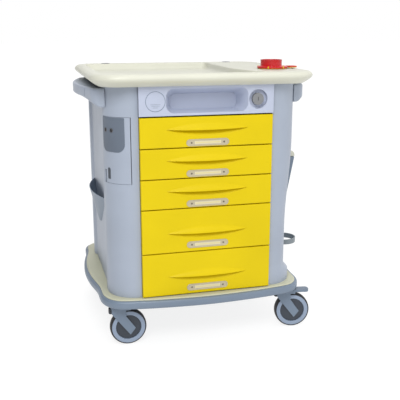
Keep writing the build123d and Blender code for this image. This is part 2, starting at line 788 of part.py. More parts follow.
save(side_bin.part, "side_bin")

HANGER_LOW_Z = 500.0
HANGER_HEIGHT = 60.0
HANGER_SPOTS = ((311, -120), (311, 120))
with BuildPart() as bin_hangers:
    with BuildSketch(Plane.XY.offset(HANGER_LOW_Z)):
        with Locations(*HANGER_SPOTS):
            Rectangle(22, 24)
    extrude(amount=HANGER_HEIGHT)
    add(side_bin.part, mode=Mode.SUBTRACT)
    add(body_core(WAISTED, 1), mode=Mode.SUBTRACT)
    with BuildSketch(bin_plane):
        with BuildLine():
            Polyline(*[(x, -z) for x, z in bin_outline], close=True)
        make_face()
    extrude(amount=2 * BIN_Y, mode=Mode.SUBTRACT)
save(bin_hangers.part, "bin_hangers")

BIN_LID_X = (BIN_PIN_X - 3, 364.0)
with BuildPart() as bin_lid:
    with BuildSketch(bin_plane.offset(BIN_WALL + 1)):
        with BuildLine():
            Polyline(
                (336, -BIN_LID_Z - 15),
                (BIN_LID_X[0], -BIN_LID_Z - 6),
                (BIN_LID_X[0], -BIN_LID_Z),
                (BIN_LID_X[1], -BIN_LID_Z),
                (BIN_LID_X[1], -BIN_LID_Z - 6),
            )
            ThreePointArc((BIN_LID_X[1], -BIN_LID_Z - 6), (352, -BIN_LID_Z - 20), (336, -BIN_LID_Z - 15))
        make_face()
    extrude(amount=2 * (BIN_Y - BIN_WALL - 1))
    with BuildSketch(bin_plane):
        with Locations((BIN_PIN_X, -BIN_PIN_Z)):
            Circle(BIN_PIN_R)
    extrude(amount=2 * BIN_Y)
save(bin_lid.part, "bin_lid")

# ---- gas cylinder hoop -------------------------------------------------------------------
HOOP_X = 339.0
HOOP_Y = -140.0
HOOP_R = 42.0
HOOP_LOW_Z = 281.0
HOOP_HEIGHT = 18.0
HOOP_BAND = 4.0
HOOP_FOOT_X = 293.0        # a short foot reaches into the waist of the shell
with BuildPart() as cylinder_hoop:
    with BuildSketch(Plane.XY.offset(HOOP_LOW_Z)):
        with Locations((HOOP_X, HOOP_Y)):
            Circle(HOOP_R + HOOP_BAND)
        with Locations((HOOP_FOOT_X, HOOP_Y)):
            Rectangle(8, 40)
        with Locations((HOOP_X, HOOP_Y)):
            Circle(HOOP_R, mode=Mode.SUBTRACT)
    extrude(amount=HOOP_HEIGHT)
    add(body_core(WAISTED, 1), mode=Mode.SUBTRACT)
save(cylinder_hoop.part, "cylinder_hoop")

# ---- casters -----------------------------------------------------------------------------
AXLE_Z = WHEEL_R
FORK_GAP = 1.5
LEG = 4.5
HEAD_LOW_Z = 129.0
HEAD_HIGH_Z = 148.5
AXLE_R = 5.0
PEDAL_PIN_X = 36.0
PEDAL_PIN_Z = 136.0
PEDAL_PIN_R = 2.5
RUNNING_GAP = 0.05
TREAD = 6.0
RIM_R = 43.0               # inside this the wheel is a thinner disc
HUB_R = 11.0
FORK_HEAD_R = 27.0
STEM_FLANGE_Z = 126.0
STEM_HEIGHT = PAN_Z - STEM_FLANGE_Z
PEDAL_LOW_Z = 131.0
PEDAL_THICK = 9.0
PEDAL_LENGTH = 63.0
PEDAL_START = 29.0         # from the swivel axis, along the trail

with BuildPart() as caster_stems:
    with Locations(*[(x, y, STEM_FLANGE_Z) for x, y in caster_spots]):
        Cylinder(STEM_R + 5, 2.4, align=(Align.CENTER, Align.CENTER, Align.MIN))
        Cylinder(STEM_R, STEM_HEIGHT, align=(Align.CENTER, Align.CENTER, Align.MIN))
save(caster_stems.part, "caster_stems")

casters = {
    "front_left": (-CASTER_X, -CASTER_Y, 0),
    "front_right": (CASTER_X, -CASTER_Y, -9),
    "rear_left": (-CASTER_X, CASTER_Y, 0),
    "rear_right": (CASTER_X, CASTER_Y, 0),
}
for caster, (x, y, turn) in casters.items():
    along = (cos(radians(turn)), sin(radians(turn)), 0)
    across = (sin(radians(turn)), -cos(radians(turn)), 0)
    # local sketch plane: x runs along the trail, y runs up, normal points across the wheel
    middle = Plane(origin=(x, y, 0), x_dir=along, z_dir=across)
    level = Plane(origin=(x, y, 0), x_dir=along, z_dir=(0, 0, 1))
    leg_in = WHEEL_HALF_WIDTH + FORK_GAP

    with BuildPart() as tyre:
        with BuildSketch(middle):
            with Locations((TRAIL, AXLE_Z)):
                Circle(WHEEL_R)
                Circle(WHEEL_R - TREAD, mode=Mode.SUBTRACT)
        extrude(amount=WHEEL_HALF_WIDTH, both=True)
        rim_edges = tyre.edges().filter_by(lambda e: e.length > 2 * pi * (WHEEL_R - 1))
        fillet(rim_edges, 5)
    save(tyre.part, f"{caster}_tyre")

    with BuildPart() as wheel:
        with BuildSketch(middle):
            with Locations((TRAIL, AXLE_Z)):
                Circle(WHEEL_R - TREAD)
                Circle(RIM_R, mode=Mode.SUBTRACT)
        extrude(amount=WHEEL_HALF_WIDTH - 1, both=True)
        for radius, half_width in ((RIM_R, WHEEL_HALF_WIDTH - 4), (HUB_R, WHEEL_HALF_WIDTH)):
            with BuildSketch(middle):
                with Locations((TRAIL, AXLE_Z)):
                    Circle(radius)
            extrude(amount=half_width, both=True)
        with BuildSketch(middle):
            with Locations((TRAIL, AXLE_Z)):
                Circle(AXLE_R + RUNNING_GAP)
        extrude(amount=WHEEL_HALF_WIDTH + 1, both=True, mode=Mode.SUBTRACT)
    save(wheel.part, f"{caster}_wheel")

    with BuildPart() as fork:
        with BuildSketch(level.offset(HEAD_LOW_Z)):
            Circle(FORK_HEAD_R)
        extrude(amount=HEAD_HIGH_Z - HEAD_LOW_Z)
        for leg_plane in (middle.offset(leg_in), middle.offset(-leg_in - LEG)):
            with BuildSketch(leg_plane):
                with BuildLine():
                    Polyline(
                        (-24, HEAD_HIGH_Z - 4),
                        (-24, 118),
                        (TRAIL + 5, AXLE_Z - 25),
                        (TRAIL + 23, AXLE_Z - 2),
                        (24, 106),
                        (24, 127),
                        (PEDAL_PIN_X + 5, 127),
                        (PEDAL_PIN_X + 5, HEAD_HIGH_Z - 4),
                        close=True,
                    )
                make_face()
                with Locations((PEDAL_PIN_X, PEDAL_PIN_Z)):
                    Circle(PEDAL_PIN_R + RUNNING_GAP, mode=Mode.SUBTRACT)
            extrude(amount=LEG)
        with BuildSketch(middle):
            with Locations((TRAIL, AXLE_Z)):
                Circle(AXLE_R)
        extrude(amount=leg_in + LEG, both=True)
        with BuildSketch(level.offset(HEAD_LOW_Z - 1)):
            Circle(STEM_R + RUNNING_GAP)
        extrude(amount=30, mode=Mode.SUBTRACT)
    save(fork.part, f"{caster}_fork")

    # brake pedal: a pad over the wheel, pinned through both fork legs
    with BuildPart() as pedal:
        with BuildSketch(level.offset(PEDAL_LOW_Z)):
            with Locations((PEDAL_START + PEDAL_LENGTH / 2, 0)):
                RectangleRounded(PEDAL_LENGTH, 2 * (leg_in - 0.8), 12)
        extrude(amount=PEDAL_THICK)
        with BuildSketch(middle):
            with Locations((PEDAL_PIN_X, PEDAL_PIN_Z)):
                Circle(PEDAL_PIN_R)
        extrude(amount=leg_in + LEG, both=True)
    save(pedal.part, f"{caster}_pedal")
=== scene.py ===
# %% [markdown]
# # A hospital crash cart, cell by cell
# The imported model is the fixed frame: every size and place below is either one of the cart's own
# dimensions or is read from that frame. Everything is in metres, +Z up, and the drawers face -Y.
# Each step first says what the piece is on the real cart and how its surface is made.

# %% Load the frame
import json
import bmesh
import bpy
import numpy as np
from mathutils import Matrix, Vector
from math import radians


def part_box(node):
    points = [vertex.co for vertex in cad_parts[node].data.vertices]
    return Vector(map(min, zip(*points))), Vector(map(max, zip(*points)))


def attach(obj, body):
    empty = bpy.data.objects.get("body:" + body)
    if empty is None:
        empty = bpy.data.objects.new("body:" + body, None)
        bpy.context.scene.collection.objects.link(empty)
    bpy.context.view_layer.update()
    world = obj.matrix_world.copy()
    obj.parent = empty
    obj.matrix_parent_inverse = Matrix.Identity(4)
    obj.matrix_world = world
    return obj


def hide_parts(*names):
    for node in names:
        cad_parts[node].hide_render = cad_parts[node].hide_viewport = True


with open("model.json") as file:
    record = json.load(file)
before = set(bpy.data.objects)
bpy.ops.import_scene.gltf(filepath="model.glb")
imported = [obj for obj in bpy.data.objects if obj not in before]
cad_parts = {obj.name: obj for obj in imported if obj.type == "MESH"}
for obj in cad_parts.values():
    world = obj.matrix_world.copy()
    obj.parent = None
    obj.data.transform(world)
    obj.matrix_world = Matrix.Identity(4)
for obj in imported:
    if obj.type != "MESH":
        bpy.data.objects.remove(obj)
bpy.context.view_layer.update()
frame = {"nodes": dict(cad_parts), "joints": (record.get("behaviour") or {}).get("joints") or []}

MM = 0.001

# %% [markdown]
# ## Camera, floor and light
# A product shot: the camera stands to the left of the cart, a little above its worktop, and looks
# slightly down. The light is what a catalogue studio uses: one large soft lamp high in front, which
# picks out the brow over each drawer pull, a second above, and a white room all round that is darker
# on the left, so that the side of the cart reads as a side.

# %% Camera
scene = bpy.context.scene
camera_data = bpy.data.cameras.new("camera")
camera_data.lens = 61.3
camera_data.sensor_width = 36.0
camera = bpy.data.objects.new("camera", camera_data)
camera.location = (-0.5727, -2.4072, 1.0577)
camera.rotation_euler = (radians(90 - 14.35), 0, radians(-14.67))
scene.collection.objects.link(camera)
scene.camera = camera


# %% Lights
def soft_lamp(name, place, target, size, power):
    """A square lamp at place that faces target."""
    data = bpy.data.lights.new(name, "AREA")
    data.size = size
    data.energy = power
    lamp = bpy.data.objects.new(name, data)
    lamp.location = place
    lamp.rotation_euler = (Vector(target) - Vector(place)).to_track_quat("-Z", "Y").to_euler()
    scene.collection.objects.link(lamp)


CART_MIDDLE = (0, 0, 0.5)
CART_TOP = (0, 0, 0.8)
soft_lamp("front_lamp", (-0.9, -2.7, 2.9), CART_MIDDLE, 1.3, 66)
soft_lamp("top_lamp", (0.2, -0.4, 3.2), CART_TOP, 2.2, 12)


# %% A white room that is darker on the left
def white_room(left, right):
    """World light: its strength ramps from left to right with the X part of the direction."""
    world = bpy.data.worlds.new("white_room")
    world.use_nodes = True
    tree = world.node_tree
    direction = tree.nodes.new("ShaderNodeTexCoord")
    parts = tree.nodes.new("ShaderNodeSeparateXYZ")
    ramp = tree.nodes.new("ShaderNodeMapRange")
    ramp.inputs["From Min"].default_value = -0.75
    ramp.inputs["From Max"].default_value = -0.05
    ramp.inputs["To Min"].default_value = left
    ramp.inputs["To Max"].default_value = right
    tree.links.new(direction.outputs["Generated"], parts.inputs["Vector"])
    tree.links.new(parts.outputs["X"], ramp.inputs["Value"])
    tree.links.new(ramp.outputs["Result"], tree.nodes["Background"].inputs["Strength"])
    tree.nodes["Background"].inputs["Color"].default_value = (1, 1, 1, 1)
    return world


scene.world = white_room(left=0.22, right=1.0)
scene.view_settings.view_transform = "Standard"

# %% [markdown]
# ## Finishes
# Nearly all of the cart is injection-moulded or thermoformed plastic. One recipe serves them all: a
# base colour that drifts slightly from place to place, as moulded plastic does, a fine spark-eroded
# grain in the bump, and a roughness that wanders a little so highlights are never perfectly even.
# Every pattern reads Object coordinates, which are the cart's own metres, so the grain keeps its
# real scale on every piece.


# %% A node-based plastic
DRIFT_SCALE = 5.0
WANDER_SCALE = 22.0
WANDER = 0.07
GRAIN_DEPTH = 0.0006


def finish(name, colour, roughness=0.45, drift=0.06, grain=900.0, bump=0.05, **sockets):
    """Plastic, paint or rubber: a drifting colour, a wandering roughness and a fine grain."""
    material = bpy.data.materials.new(name)
    material.use_nodes = True
    tree = material.node_tree
    shader = tree.nodes["Principled BSDF"]
    place = tree.nodes.new("ShaderNodeTexCoord")

    def noise(scale, detail):
        node = tree.nodes.new("ShaderNodeTexNoise")
        node.inputs["Scale"].default_value = scale
        node.inputs["Detail"].default_value = detail
        tree.links.new(place.outputs["Object"], node.inputs["Vector"])
        return node

    broad = noise(DRIFT_SCALE, 3.0)
    ramp = tree.nodes.new("ShaderNodeValToRGB")
    ramp.color_ramp.elements[0].position = 0.3
    ramp.color_ramp.elements[1].position = 0.7
    ramp.color_ramp.elements[0].color = [c * (1 - drift) for c in colour] + [1]
    ramp.color_ramp.elements[1].color = [min(1, c * (1 + drift)) for c in colour] + [1]
    tree.links.new(broad.outputs["Fac"], ramp.inputs["Fac"])
    tree.links.new(ramp.outputs["Color"], shader.inputs["Base Color"])

    patchy = noise(WANDER_SCALE, 4.0)
    spread = tree.nodes.new("ShaderNodeMapRange")
    spread.inputs["To Min"].default_value = max(0.02, roughness - WANDER)
    spread.inputs["To Max"].default_value = min(1.0, roughness + WANDER)
    tree.links.new(patchy.outputs["Fac"], spread.inputs["Value"])
    tree.links.new(spread.outputs["Result"], shader.inputs["Roughness"])

    fine = noise(grain, 2.0)
    relief = tree.nodes.new("ShaderNodeBump")
    relief.inputs["Strength"].default_value = bump
    relief.inputs["Distance"].default_value = GRAIN_DEPTH
    tree.links.new(fine.outputs["Fac"], relief.inputs["Height"])
    tree.links.new(relief.outputs["Normal"], shader.inputs["Normal"])
    for socket, value in sockets.items():
        shader.inputs[socket.replace("_", " ")].default_value = value
    return material


finishes = {
    "shell": finish("shell_blue_grey", (0.318, 0.360, 0.437), 0.42),
    "fascia": finish("fascia_blue_grey", (0.42, 0.46, 0.575), 0.42),
    "bumper": finish("bumper_blue_grey", (0.155, 0.200, 0.265), 0.40),
    "worktop": finish("worktop_cream", (0.575, 0.575, 0.485), 0.38, drift=0.03),
    "deck": finish("deck_cream", (0.50, 0.50, 0.37), 0.42, drift=0.04),
    "yellow": finish("drawer_yellow", (0.645, 0.490, 0.001), 0.42, drift=0.04, Specular_IOR_Level=0.16),
    "label": finish("label_cream", (0.44, 0.39, 0.27), 0.25, drift=0.05),
    "card": finish("card_paper", (0.60, 0.55, 0.38), 0.7, drift=0.03),
    "strip": finish("label_line_yellow", (0.62, 0.54, 0.26), 0.5, drift=0.03),
    "dark": finish("dark_plastic", (0.030, 0.036, 0.045), 0.45, drift=0.2),
    "slate": finish("lock_plate_slate", (0.105, 0.130, 0.170), 0.5, drift=0.12, grain=500, bump=0.15),
    "back": finish("back_grey", (0.29, 0.33, 0.39), 0.45),
    "red": finish("sharps_red", (0.52, 0.006, 0.010), 0.28, drift=0.06),
    "sharps": finish("sharps_yellow", (0.70, 0.47, 0.015), 0.3, drift=0.06),
    "tray": finish("tray_grey", (0.42, 0.44, 0.46), 0.4),
    "white": finish("runner_white", (0.55, 0.56, 0.56), 0.4),
    "caster": finish("caster_blue_grey", (0.145, 0.190, 0.255), 0.42),
    "rim": finish("wheel_rim_blue", (0.24, 0.30, 0.40), 0.40),
    "tyre": finish("tyre_black", (0.016, 0.016, 0.018), 0.6, drift=0.2, grain=400, bump=0.2),
    "disc": finish("wheel_disc_dark", (0.028, 0.036, 0.050), 0.45, drift=0.2),
    "hoop": finish("hoop_grey", (0.18, 0.21, 0.23), 0.38),
    "knob": finish("knob_grey", (0.19, 0.195, 0.205), 0.55, grain=260, bump=0.6),
    "steel": finish("zinc_steel", (0.62, 0.63, 0.65), 0.28, drift=0.08, Metallic=1.0),
    "chrome": finish("lock_metal", (0.16, 0.16, 0.17), 0.35, drift=0.05, Metallic=1.0),
    "screw": finish("label_screw_brown", (0.13, 0.105, 0.075), 0.5, drift=0.1),
    # seam_shadow is painted shade: a dark colour that stands in for the shadow inside the hatch's finger
    # slot.
    "edge": finish("seam_shadow", (0.05, 0.06, 0.075), 0.6, drift=0.1),
    "paint": finish("frame_paint", (0.12, 0.14, 0.165), 0.5, grain=300, bump=0.2),
}
print("finishes made:", len(finishes))

# %% [markdown]
# ## Three ways to make a piece
# - A *surface* is a rectangular sheet of points worked out as one numpy array; `grid_faces` joins
#   each point to its neighbours.
# - A *ring surface* wraps that sheet round in one direction, and round the other way too when the
#   piece is a closed band.
# - A *softened* copy takes a machined-looking shape from the frame, joins its loose triangles, and
#   rounds its edges with a bevel, which suits brackets, forks and knobs.


# %% Mesh helpers
def grid_faces(rows, columns, wrap_rows=False, wrap_columns=False):
    """Quads between neighbours of a rows x columns sheet of points, as an array of indices."""
    r = np.arange(rows if wrap_rows else rows - 1)
    c = np.arange(columns if wrap_columns else columns - 1)
    r, c = np.meshgrid(r, c, indexing="ij")
    r2 = (r + 1) % rows
    c2 = (c + 1) % columns
    quads = [r * columns + c, r * columns + c2, r2 * columns + c2, r2 * columns + c]
    return np.stack(quads, -1).reshape(-1, 4)


def piece(name, points, faces, look, body, replaced=(), crease=35):
    """A mesh object from points and faces: merged, normals outward, smooth below the crease angle."""
    mesh = bpy.data.meshes.new(name)
    mesh.from_pydata(np.asarray(points).reshape(-1, 3).tolist(), [], [list(f) for f in faces])
    obj = bpy.data.objects.new(name, mesh)
    scene.collection.objects.link(obj)
    tidy_mesh(mesh, crease)
    return dress(obj, look, body, replaced)


def tidy_mesh(mesh, crease):
    """Merge doubled points, drop flat slivers, point normals outward and mark sharp edges."""
    work = bmesh.new()
    work.from_mesh(mesh)
    bmesh.ops.remove_doubles(work, verts=work.verts, dist=2e-6)
    bmesh.ops.dissolve_degenerate(work, dist=1e-7, edges=work.edges)
    bmesh.ops.recalc_face_normals(work, faces=work.faces)
    work.to_mesh(mesh)
    work.free()
    mesh.polygons.foreach_set("use_smooth", np.ones(len(mesh.polygons), bool))
    mesh.set_sharp_from_angle(angle=radians(crease))


def dress(obj, look, body, replaced=()):
    """Give the piece its finish, its body, and hide the frame nodes it stands for."""
    obj.data.materials.clear()
    obj.data.materials.append(finishes[look])
    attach(obj, body)
    if replaced:
        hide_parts(*replaced)
    return obj


def loops_piece(name, loops, look, body, replaced=(), closed=False, crease=35):
    """Closed solid from a stack of loops, an array (loops, around, 3).

    With closed=True the last loop joins the first, which makes a band or tube; otherwise both ends
    are capped with one flat face each.
    """
    rows, columns = loops.shape[:2]
    faces = grid_faces(rows, columns, wrap_rows=closed, wrap_columns=True).tolist()
    if not closed:
        faces.append(list(range(columns)))
        faces.append(list(range((rows - 1) * columns, rows * columns)))
    return piece(name, loops, faces, look, body, replaced, crease)


def sheet_border(rows, columns):
    """Indices of the points round the edge of a rows x columns sheet, in order."""
    index = np.arange(rows * columns).reshape(rows, columns)
    return np.concatenate([index[0, :-1], index[:-1, -1], index[-1, :0:-1], index[:0:-1, 0]])


def slab_piece(name, front, back, look, body, replaced=(), crease=35):
    """Closed slab from two sheets of the same shape, front and back, joined round their border."""
    rows, columns = front.shape[:2]
    border = sheet_border(rows, columns)
    sheet = grid_faces(rows, columns)
    behind = rows * columns
    edge = np.stack([border, border + behind, np.roll(border, -1) + behind, np.roll(border, -1)], -1)
    points = np.concatenate([front.reshape(-1, 3), back.reshape(-1, 3)])
    faces = np.concatenate([sheet, sheet[:, ::-1] + behind, edge])
    return piece(name, points, faces, look, body, replaced, crease)


def softened(node, look, body, radius):
    """Copy of a frame node with merged triangles and edges rounded by radius in millimetres."""
    mesh = frame["nodes"][node].data.copy()
    obj = bpy.data.objects.new(f"{node}_finished", mesh)
    scene.collection.objects.link(obj)
    work = bmesh.new()
    work.from_mesh(mesh)
    bmesh.ops.remove_doubles(work, verts=work.verts, dist=1e-5)
    bmesh.ops.dissolve_limit(work, angle_limit=radians(1.0), verts=work.verts, edges=work.edges)
    work.to_mesh(mesh)
    work.free()
    mesh.polygons.foreach_set("use_smooth", np.ones(len(mesh.polygons), bool))
    mesh.set_sharp_from_angle(angle=radians(32))
    bevel = obj.modifiers.new("rounded_edges", "BEVEL")
    bevel.width = radius * MM
    bevel.segments = 3
    bevel.limit_method = "ANGLE"
    bevel.angle_limit = radians(40)
    bevel.harden_normals = True
    return dress(obj, look, body, (node,))


def rounded_rectangle(half_x, half_y, radius, per_corner=12):
    """Loop of points, counter-clockwise: four quarter circles joined by straight sides."""
    quarters = np.arange(4) * np.pi / 2
    angles = np.concatenate([np.linspace(q, q + np.pi / 2, per_corner) for q in quarters])
    sign_x = np.repeat([1, -1, -1, 1], per_corner)
    sign_y = np.repeat([1, 1, -1, -1], per_corner)
    x = sign_x * (half_x - radius) + radius * np.cos(angles)
    y = sign_y * (half_y - radius) + radius * np.sin(angles)
    return np.stack([x, y], -1)


def resampled(loop, count):
    """The closed loop again, with count points spaced evenly along it."""
    closed = np.vstack([loop, loop[:1]])
    step = np.linalg.norm(np.diff(closed, axis=0), axis=1)
    keep = np.append(True, step > 1e-9)
    closed = closed[keep]
    run = np.append(0, np.cumsum(np.linalg.norm(np.diff(closed, axis=0), axis=1)))
    wanted = np.linspace(0, run[-1], count, endpoint=False)
    return np.stack([np.interp(wanted, run, closed[:, k]) for k in range(2)], -1)


def circle(radius, count):
    """Flat circle of count points about the origin."""
    t = np.linspace(0, 2 * np.pi, count, endpoint=False)
    return np.stack([radius * np.cos(t), radius * np.sin(t)], -1)


def inset_loop(loop, amount):
    """The loop moved inwards by amount along its own normals (counter-clockwise loops)."""
    along = np.roll(loop, -1, 0) - np.roll(loop, 1, 0)
    along /= np.linalg.norm(along, axis=1, keepdims=True)
    inward = np.stack([-along[:, 1], along[:, 0]], -1)
    return loop + inward * amount


def smoothstep(t):
    """0 to 1 with a soft start and end: 3t squared less 2t cubed."""
    t = np.clip(t, 0, 1)
    return t * t * (3 - 2 * t)


def rolled_off(edge, radius):
    """How far a surface has dropped at the distance edge from its border: a quarter circle."""
    return radius - np.sqrt(np.maximum(radius**2 - (radius - np.minimum(edge, radius)) ** 2, 0))


# %% [markdown]
# ## Drawer fronts
# Each front is one moulding. Its handle is a lens shape: above the lip line the face swells out
# towards you, and below it the face is scooped away, so the lip becomes a finger pull. The sheet of
# points is bent to follow the lip: one row of points lies exactly along it, and the rows above and
# below spread out from there, which keeps the shadow line crisp.

# %% Drawer dimensions
DRAWER_FACE_Y = -0.320
LARGE_DRAWER = 0.12  # a front taller than this is a large one
LIP_DROP_SMALL = 0.040
LIP_DROP_LARGE = 0.082
SCOOP_HALF = 0.135  # half width of the lens
BROW = 0.026  # height of the swelling above the lip
SWELL = 0.0095
SCOOP = 0.027  # height of the hollow below the lip
HOLLOW = 0.0150
LIP_SAG = 0.0035
EDGE_RADIUS = 0.003


def drawer_layout(number):
    """Lowest and highest corner of one drawer front and the height of its lip."""
    low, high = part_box(f"drawer_front_{number}")
    drop = LIP_DROP_LARGE if high.z - low.z > LARGE_DRAWER else LIP_DROP_SMALL
    return low, high, high.z + 0.0015 - drop


# %% One drawer front
def drawer_front(number):
    """Front sheet y(x, z) = face - swell + hollow + rounded edge, closed by sides and a back.

    With s = x / half the lens width, the lens is 1 - s^2 high. The swell is a raised cosine from the
    lip upwards; the hollow is deepest just under the lip and eases out to nothing.
    """
    low, high, lip = drawer_layout(number)
    xs = np.concatenate([
        low.x + np.array([0, 0.0006, 0.0016, 0.003, 0.0055]),
        np.linspace(low.x + 0.012, high.x - 0.012, 96),
        high.x - np.array([0.0055, 0.003, 0.0016, 0.0006, 0]),
    ])
    lens = np.clip(1 - (xs / SCOOP_HALF) ** 2, 0, 1)
    lip_line = lip - LIP_SAG * lens
    edge = np.array([0.0, 0.0006, 0.0016, 0.003])
    up = np.linspace(0, 1, 30) ** 1.25
    down = np.linspace(0, 1, 26)[1:] ** 1.15
    above = lip_line + (high.z - 0.004 - lip_line) * up[:, None]
    below = lip_line - (lip_line - low.z - 0.004) * down[:, None]
    top_edge = np.repeat(high.z - edge[::-1][:, None], len(xs), 1)
    bottom_edge = np.repeat(low.z + edge[::-1][:, None], len(xs), 1)
    lip_under = lip_line[None, :] - 0.0004
    z = np.vstack([top_edge[::-1], above[::-1], lip_under, below, bottom_edge])
    x = np.repeat(xs[None, :], len(z), 0)

    over = (z - lip_line) / (BROW * np.maximum(lens, 1e-3))
    under = (lip_line - z) / (SCOOP * np.maximum(lens, 1e-3))
    is_above = np.arange(len(z))[:, None] < len(top_edge) + len(above)
    bulge = SWELL * lens**0.6 * (1 + np.cos(np.pi * np.clip(over, 0, 1))) / 2
    swell = np.where(is_above & (over < 1), bulge, 0)
    cup = HOLLOW * lens**0.7 * (1 - np.clip(under, 0, 1)) ** 1.7
    hollow = np.where(~is_above & (under < 1), cup, 0)

    side = np.minimum(x - low.x, high.x - x)
    rise = np.minimum(z - low.z, high.z - z)
    corner = np.minimum(side, rise)
    drop = rolled_off(corner, EDGE_RADIUS)
    y = DRAWER_FACE_Y - swell + hollow + drop
    front = np.stack([x, y, z], -1)

    rows, columns = z.shape
    border = sheet_border(rows, columns)
    points = front.reshape(-1, 3)
    rear = points[border].copy()
    rear[:, 1] = high.y
    faces = grid_faces(rows, columns).tolist()
    count = len(border)
    back = rows * columns + np.arange(count)
    sides = np.stack([border, back, np.roll(back, -1), np.roll(border, -1)], -1)
    faces += sides.tolist()
    faces.append(back.tolist())
    return piece(
        f"drawer_moulding_{number}",
        np.vstack([points, rear]),
        faces,
        "yellow",
        f"drawer_{number}",
        (f"drawer_front_{number}",),
        crease=28,
    )


for number in range(1, 6):
    drawer_front(number)
print("drawer fronts made: 5")

# %% [markdown]
# ## Label holders
# A label holder is a clear-cream plastic lozenge, screwed to the drawer by two small screws. Its face
# has a raised rim round a sunk window with a paper card in it. One loop, a stadium, is repeated at
# changing insets and heights, like the contour lines of a dish.

# %% Label holder, card and screws
def stadium(half_x, radius, count=64):
    """Two half circles joined by straight lines, spaced evenly."""
    t = np.linspace(-np.pi / 2, np.pi / 2, 24)
    right = np.stack([half_x - radius + radius * np.cos(t), radius * np.sin(t)], -1)
    return resampled(np.vstack([right, -right]), count)


def facing(loop, x, y, z):
    """Stand a flat loop up in the XZ plane at depth y, its middle at (x, z)."""
    return np.stack([loop[:, 0] + x, np.full(len(loop), y), loop[:, 1] + z], -1)


CARD_HALF = (0.044, 0.0052)
LINE_HALF = (0.042, 0.0017)
SCREW_X = 0.054
SCREW_DOME = ((0.0028, 0.0012), (0.0028, -0.0001), (0.0021, -0.0007), (0.0010, -0.0009))


def label_holder(number):
    """The lozenge from its contour of (inset, depth), then the card, its line and two screws."""
    low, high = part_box(f"label_holder_{number}")
    body = f"drawer_{number}"
    x, z = (low.x + high.x) / 2, (low.z + high.z) / 2
    half_x, half_z = (high.x - low.x) / 2, (high.z - low.z) / 2
    contour = (
        (0, high.y), (0, low.y + 0.0008), (0.0008, low.y), (0.0022, low.y), (0.003, low.y + 0.0009),
    )
    loops = [facing(stadium(half_x - i, half_z - i), x, y, z) for i, y in contour]
    replaced = (f"label_holder_{number}",)
    loops_piece(f"label_lozenge_{number}", np.array(loops), "label", body, replaced)
    card = rounded_rectangle(*CARD_HALF, 0.001, 4)
    loops = [facing(card, x, low.y + depth, z) for depth in (0.0011, 0.0004)]
    loops_piece(f"label_card_{number}", np.array(loops), "card", body)
    line = rounded_rectangle(*LINE_HALF, 0.0006, 4)
    loops = [facing(line, x, low.y + depth, z) for depth in (0.0006, 0.0001)]
    loops_piece(f"label_line_{number}", np.array(loops), "strip", body)
    for side, way in ((-1, "left"), (1, "right")):
        loops = [facing(circle(r, 20), x + side * SCREW_X, low.y + depth, z) for r, depth in SCREW_DOME]
        loops_piece(f"label_screw_{way}_{number}", np.array(loops), "screw", body)


for number in range(1, 6):
    label_holder(number)
print("label holders made: 5, each with a card and two screws")

# %% [markdown]
# ## Side shells
# Each side of the cart is one tall hollow moulding: a rounded column in front, a slightly sunk side
# panel, and the same column behind. The right one is drawn in at the waist to make room for a gas
# cylinder and flares out again into a foot. A plan outline is computed for every height, so the
# waist is a smooth function of height: a cosine ramp between full and narrow.

# %% Shell dimensions
OPENING_X = 0.222
COLUMN_FLAT = 0.008
BODY_X = 0.324
BODY_Y = 0.306
WALL = 0.004
PANEL_STEP = 0.008
PANEL_Y = 0.178
DECK_Z = 0.180
WORKTOP_Z = 0.876
HATCH_Z = (0.566, 0.781)
HATCH_DEG = (9.7, 82.7)


def waist(z):
    """Half width of the right shell: 0.324 at the foot and above 0.67, 0.299 between, with soft ramps."""
    foot = smoothstep((z - 0.214) / 0.030)
    chest = smoothstep((z - 0.383) / 0.300)
    return BODY_X - 0.025 * foot * (1 - chest)


def shell_plan(half_width, inset, corner_degrees):
    """Plan outline for +X: front flat, corner, step, panel, step, corner, back flat, inner wall."""
    radius = half_width - OPENING_X - COLUMN_FLAT - inset
    outer = half_width - inset
    front = BODY_Y - inset
    centre_x = outer - radius
    centre_y = front - radius
    a = np.radians(corner_degrees)
    corner = np.stack([centre_x + radius * np.sin(a), -centre_y - radius * np.cos(a)], -1)
    step = PANEL_Y + 0.414 * inset
    ramp = np.linspace(0, 1, 7)
    side = np.stack([
        outer - PANEL_STEP * smoothstep(ramp),
        -(step + 0.014) + 0.018 * ramp,
    ], -1)
    inner = OPENING_X + inset
    start = np.array([[inner, -front]])
    half = np.vstack([start, corner, side])
    panel = np.array([[outer - PANEL_STEP, y] for y in np.linspace(-step * 0.8, step * 0.8, 9)])
    mirrored = half[::-1] * [1, -1]
    return np.vstack([half, panel, mirrored])


def side_shell(side):
    """Outer and inner walls as one closed band: rows go up outside and down inside."""
    left = side < 0
    corner = np.unique(np.concatenate([np.linspace(0, 90, 31), HATCH_DEG]))
    heights = np.unique(np.concatenate([np.linspace(DECK_Z, WORKTOP_Z, 59), HATCH_Z]))
    width = np.full(len(heights), BODY_X) if left else waist(heights)

    def wall(inset):
        rows = [shell_plan(w, inset, corner) for w in width]
        plan = np.array(rows) * [side, 1]
        z = np.repeat(heights[:, None], plan.shape[1], 1)[..., None]
        return np.concatenate([plan, z], -1)

    outer = wall(0)
    inner = wall(WALL)[::-1]
    points = np.concatenate([outer, inner])
    rows, columns = points.shape[:2]
    faces = grid_faces(rows, columns, wrap_rows=True, wrap_columns=True)
    if left:
        faces = cut_window(faces, heights, corner, rows, columns)
    way = "left" if left else "right"
    replaced = (f"{way}_side_shell",)
    return piece(f"{way}_shell_moulding", points, faces, "shell", "chassis", replaced)


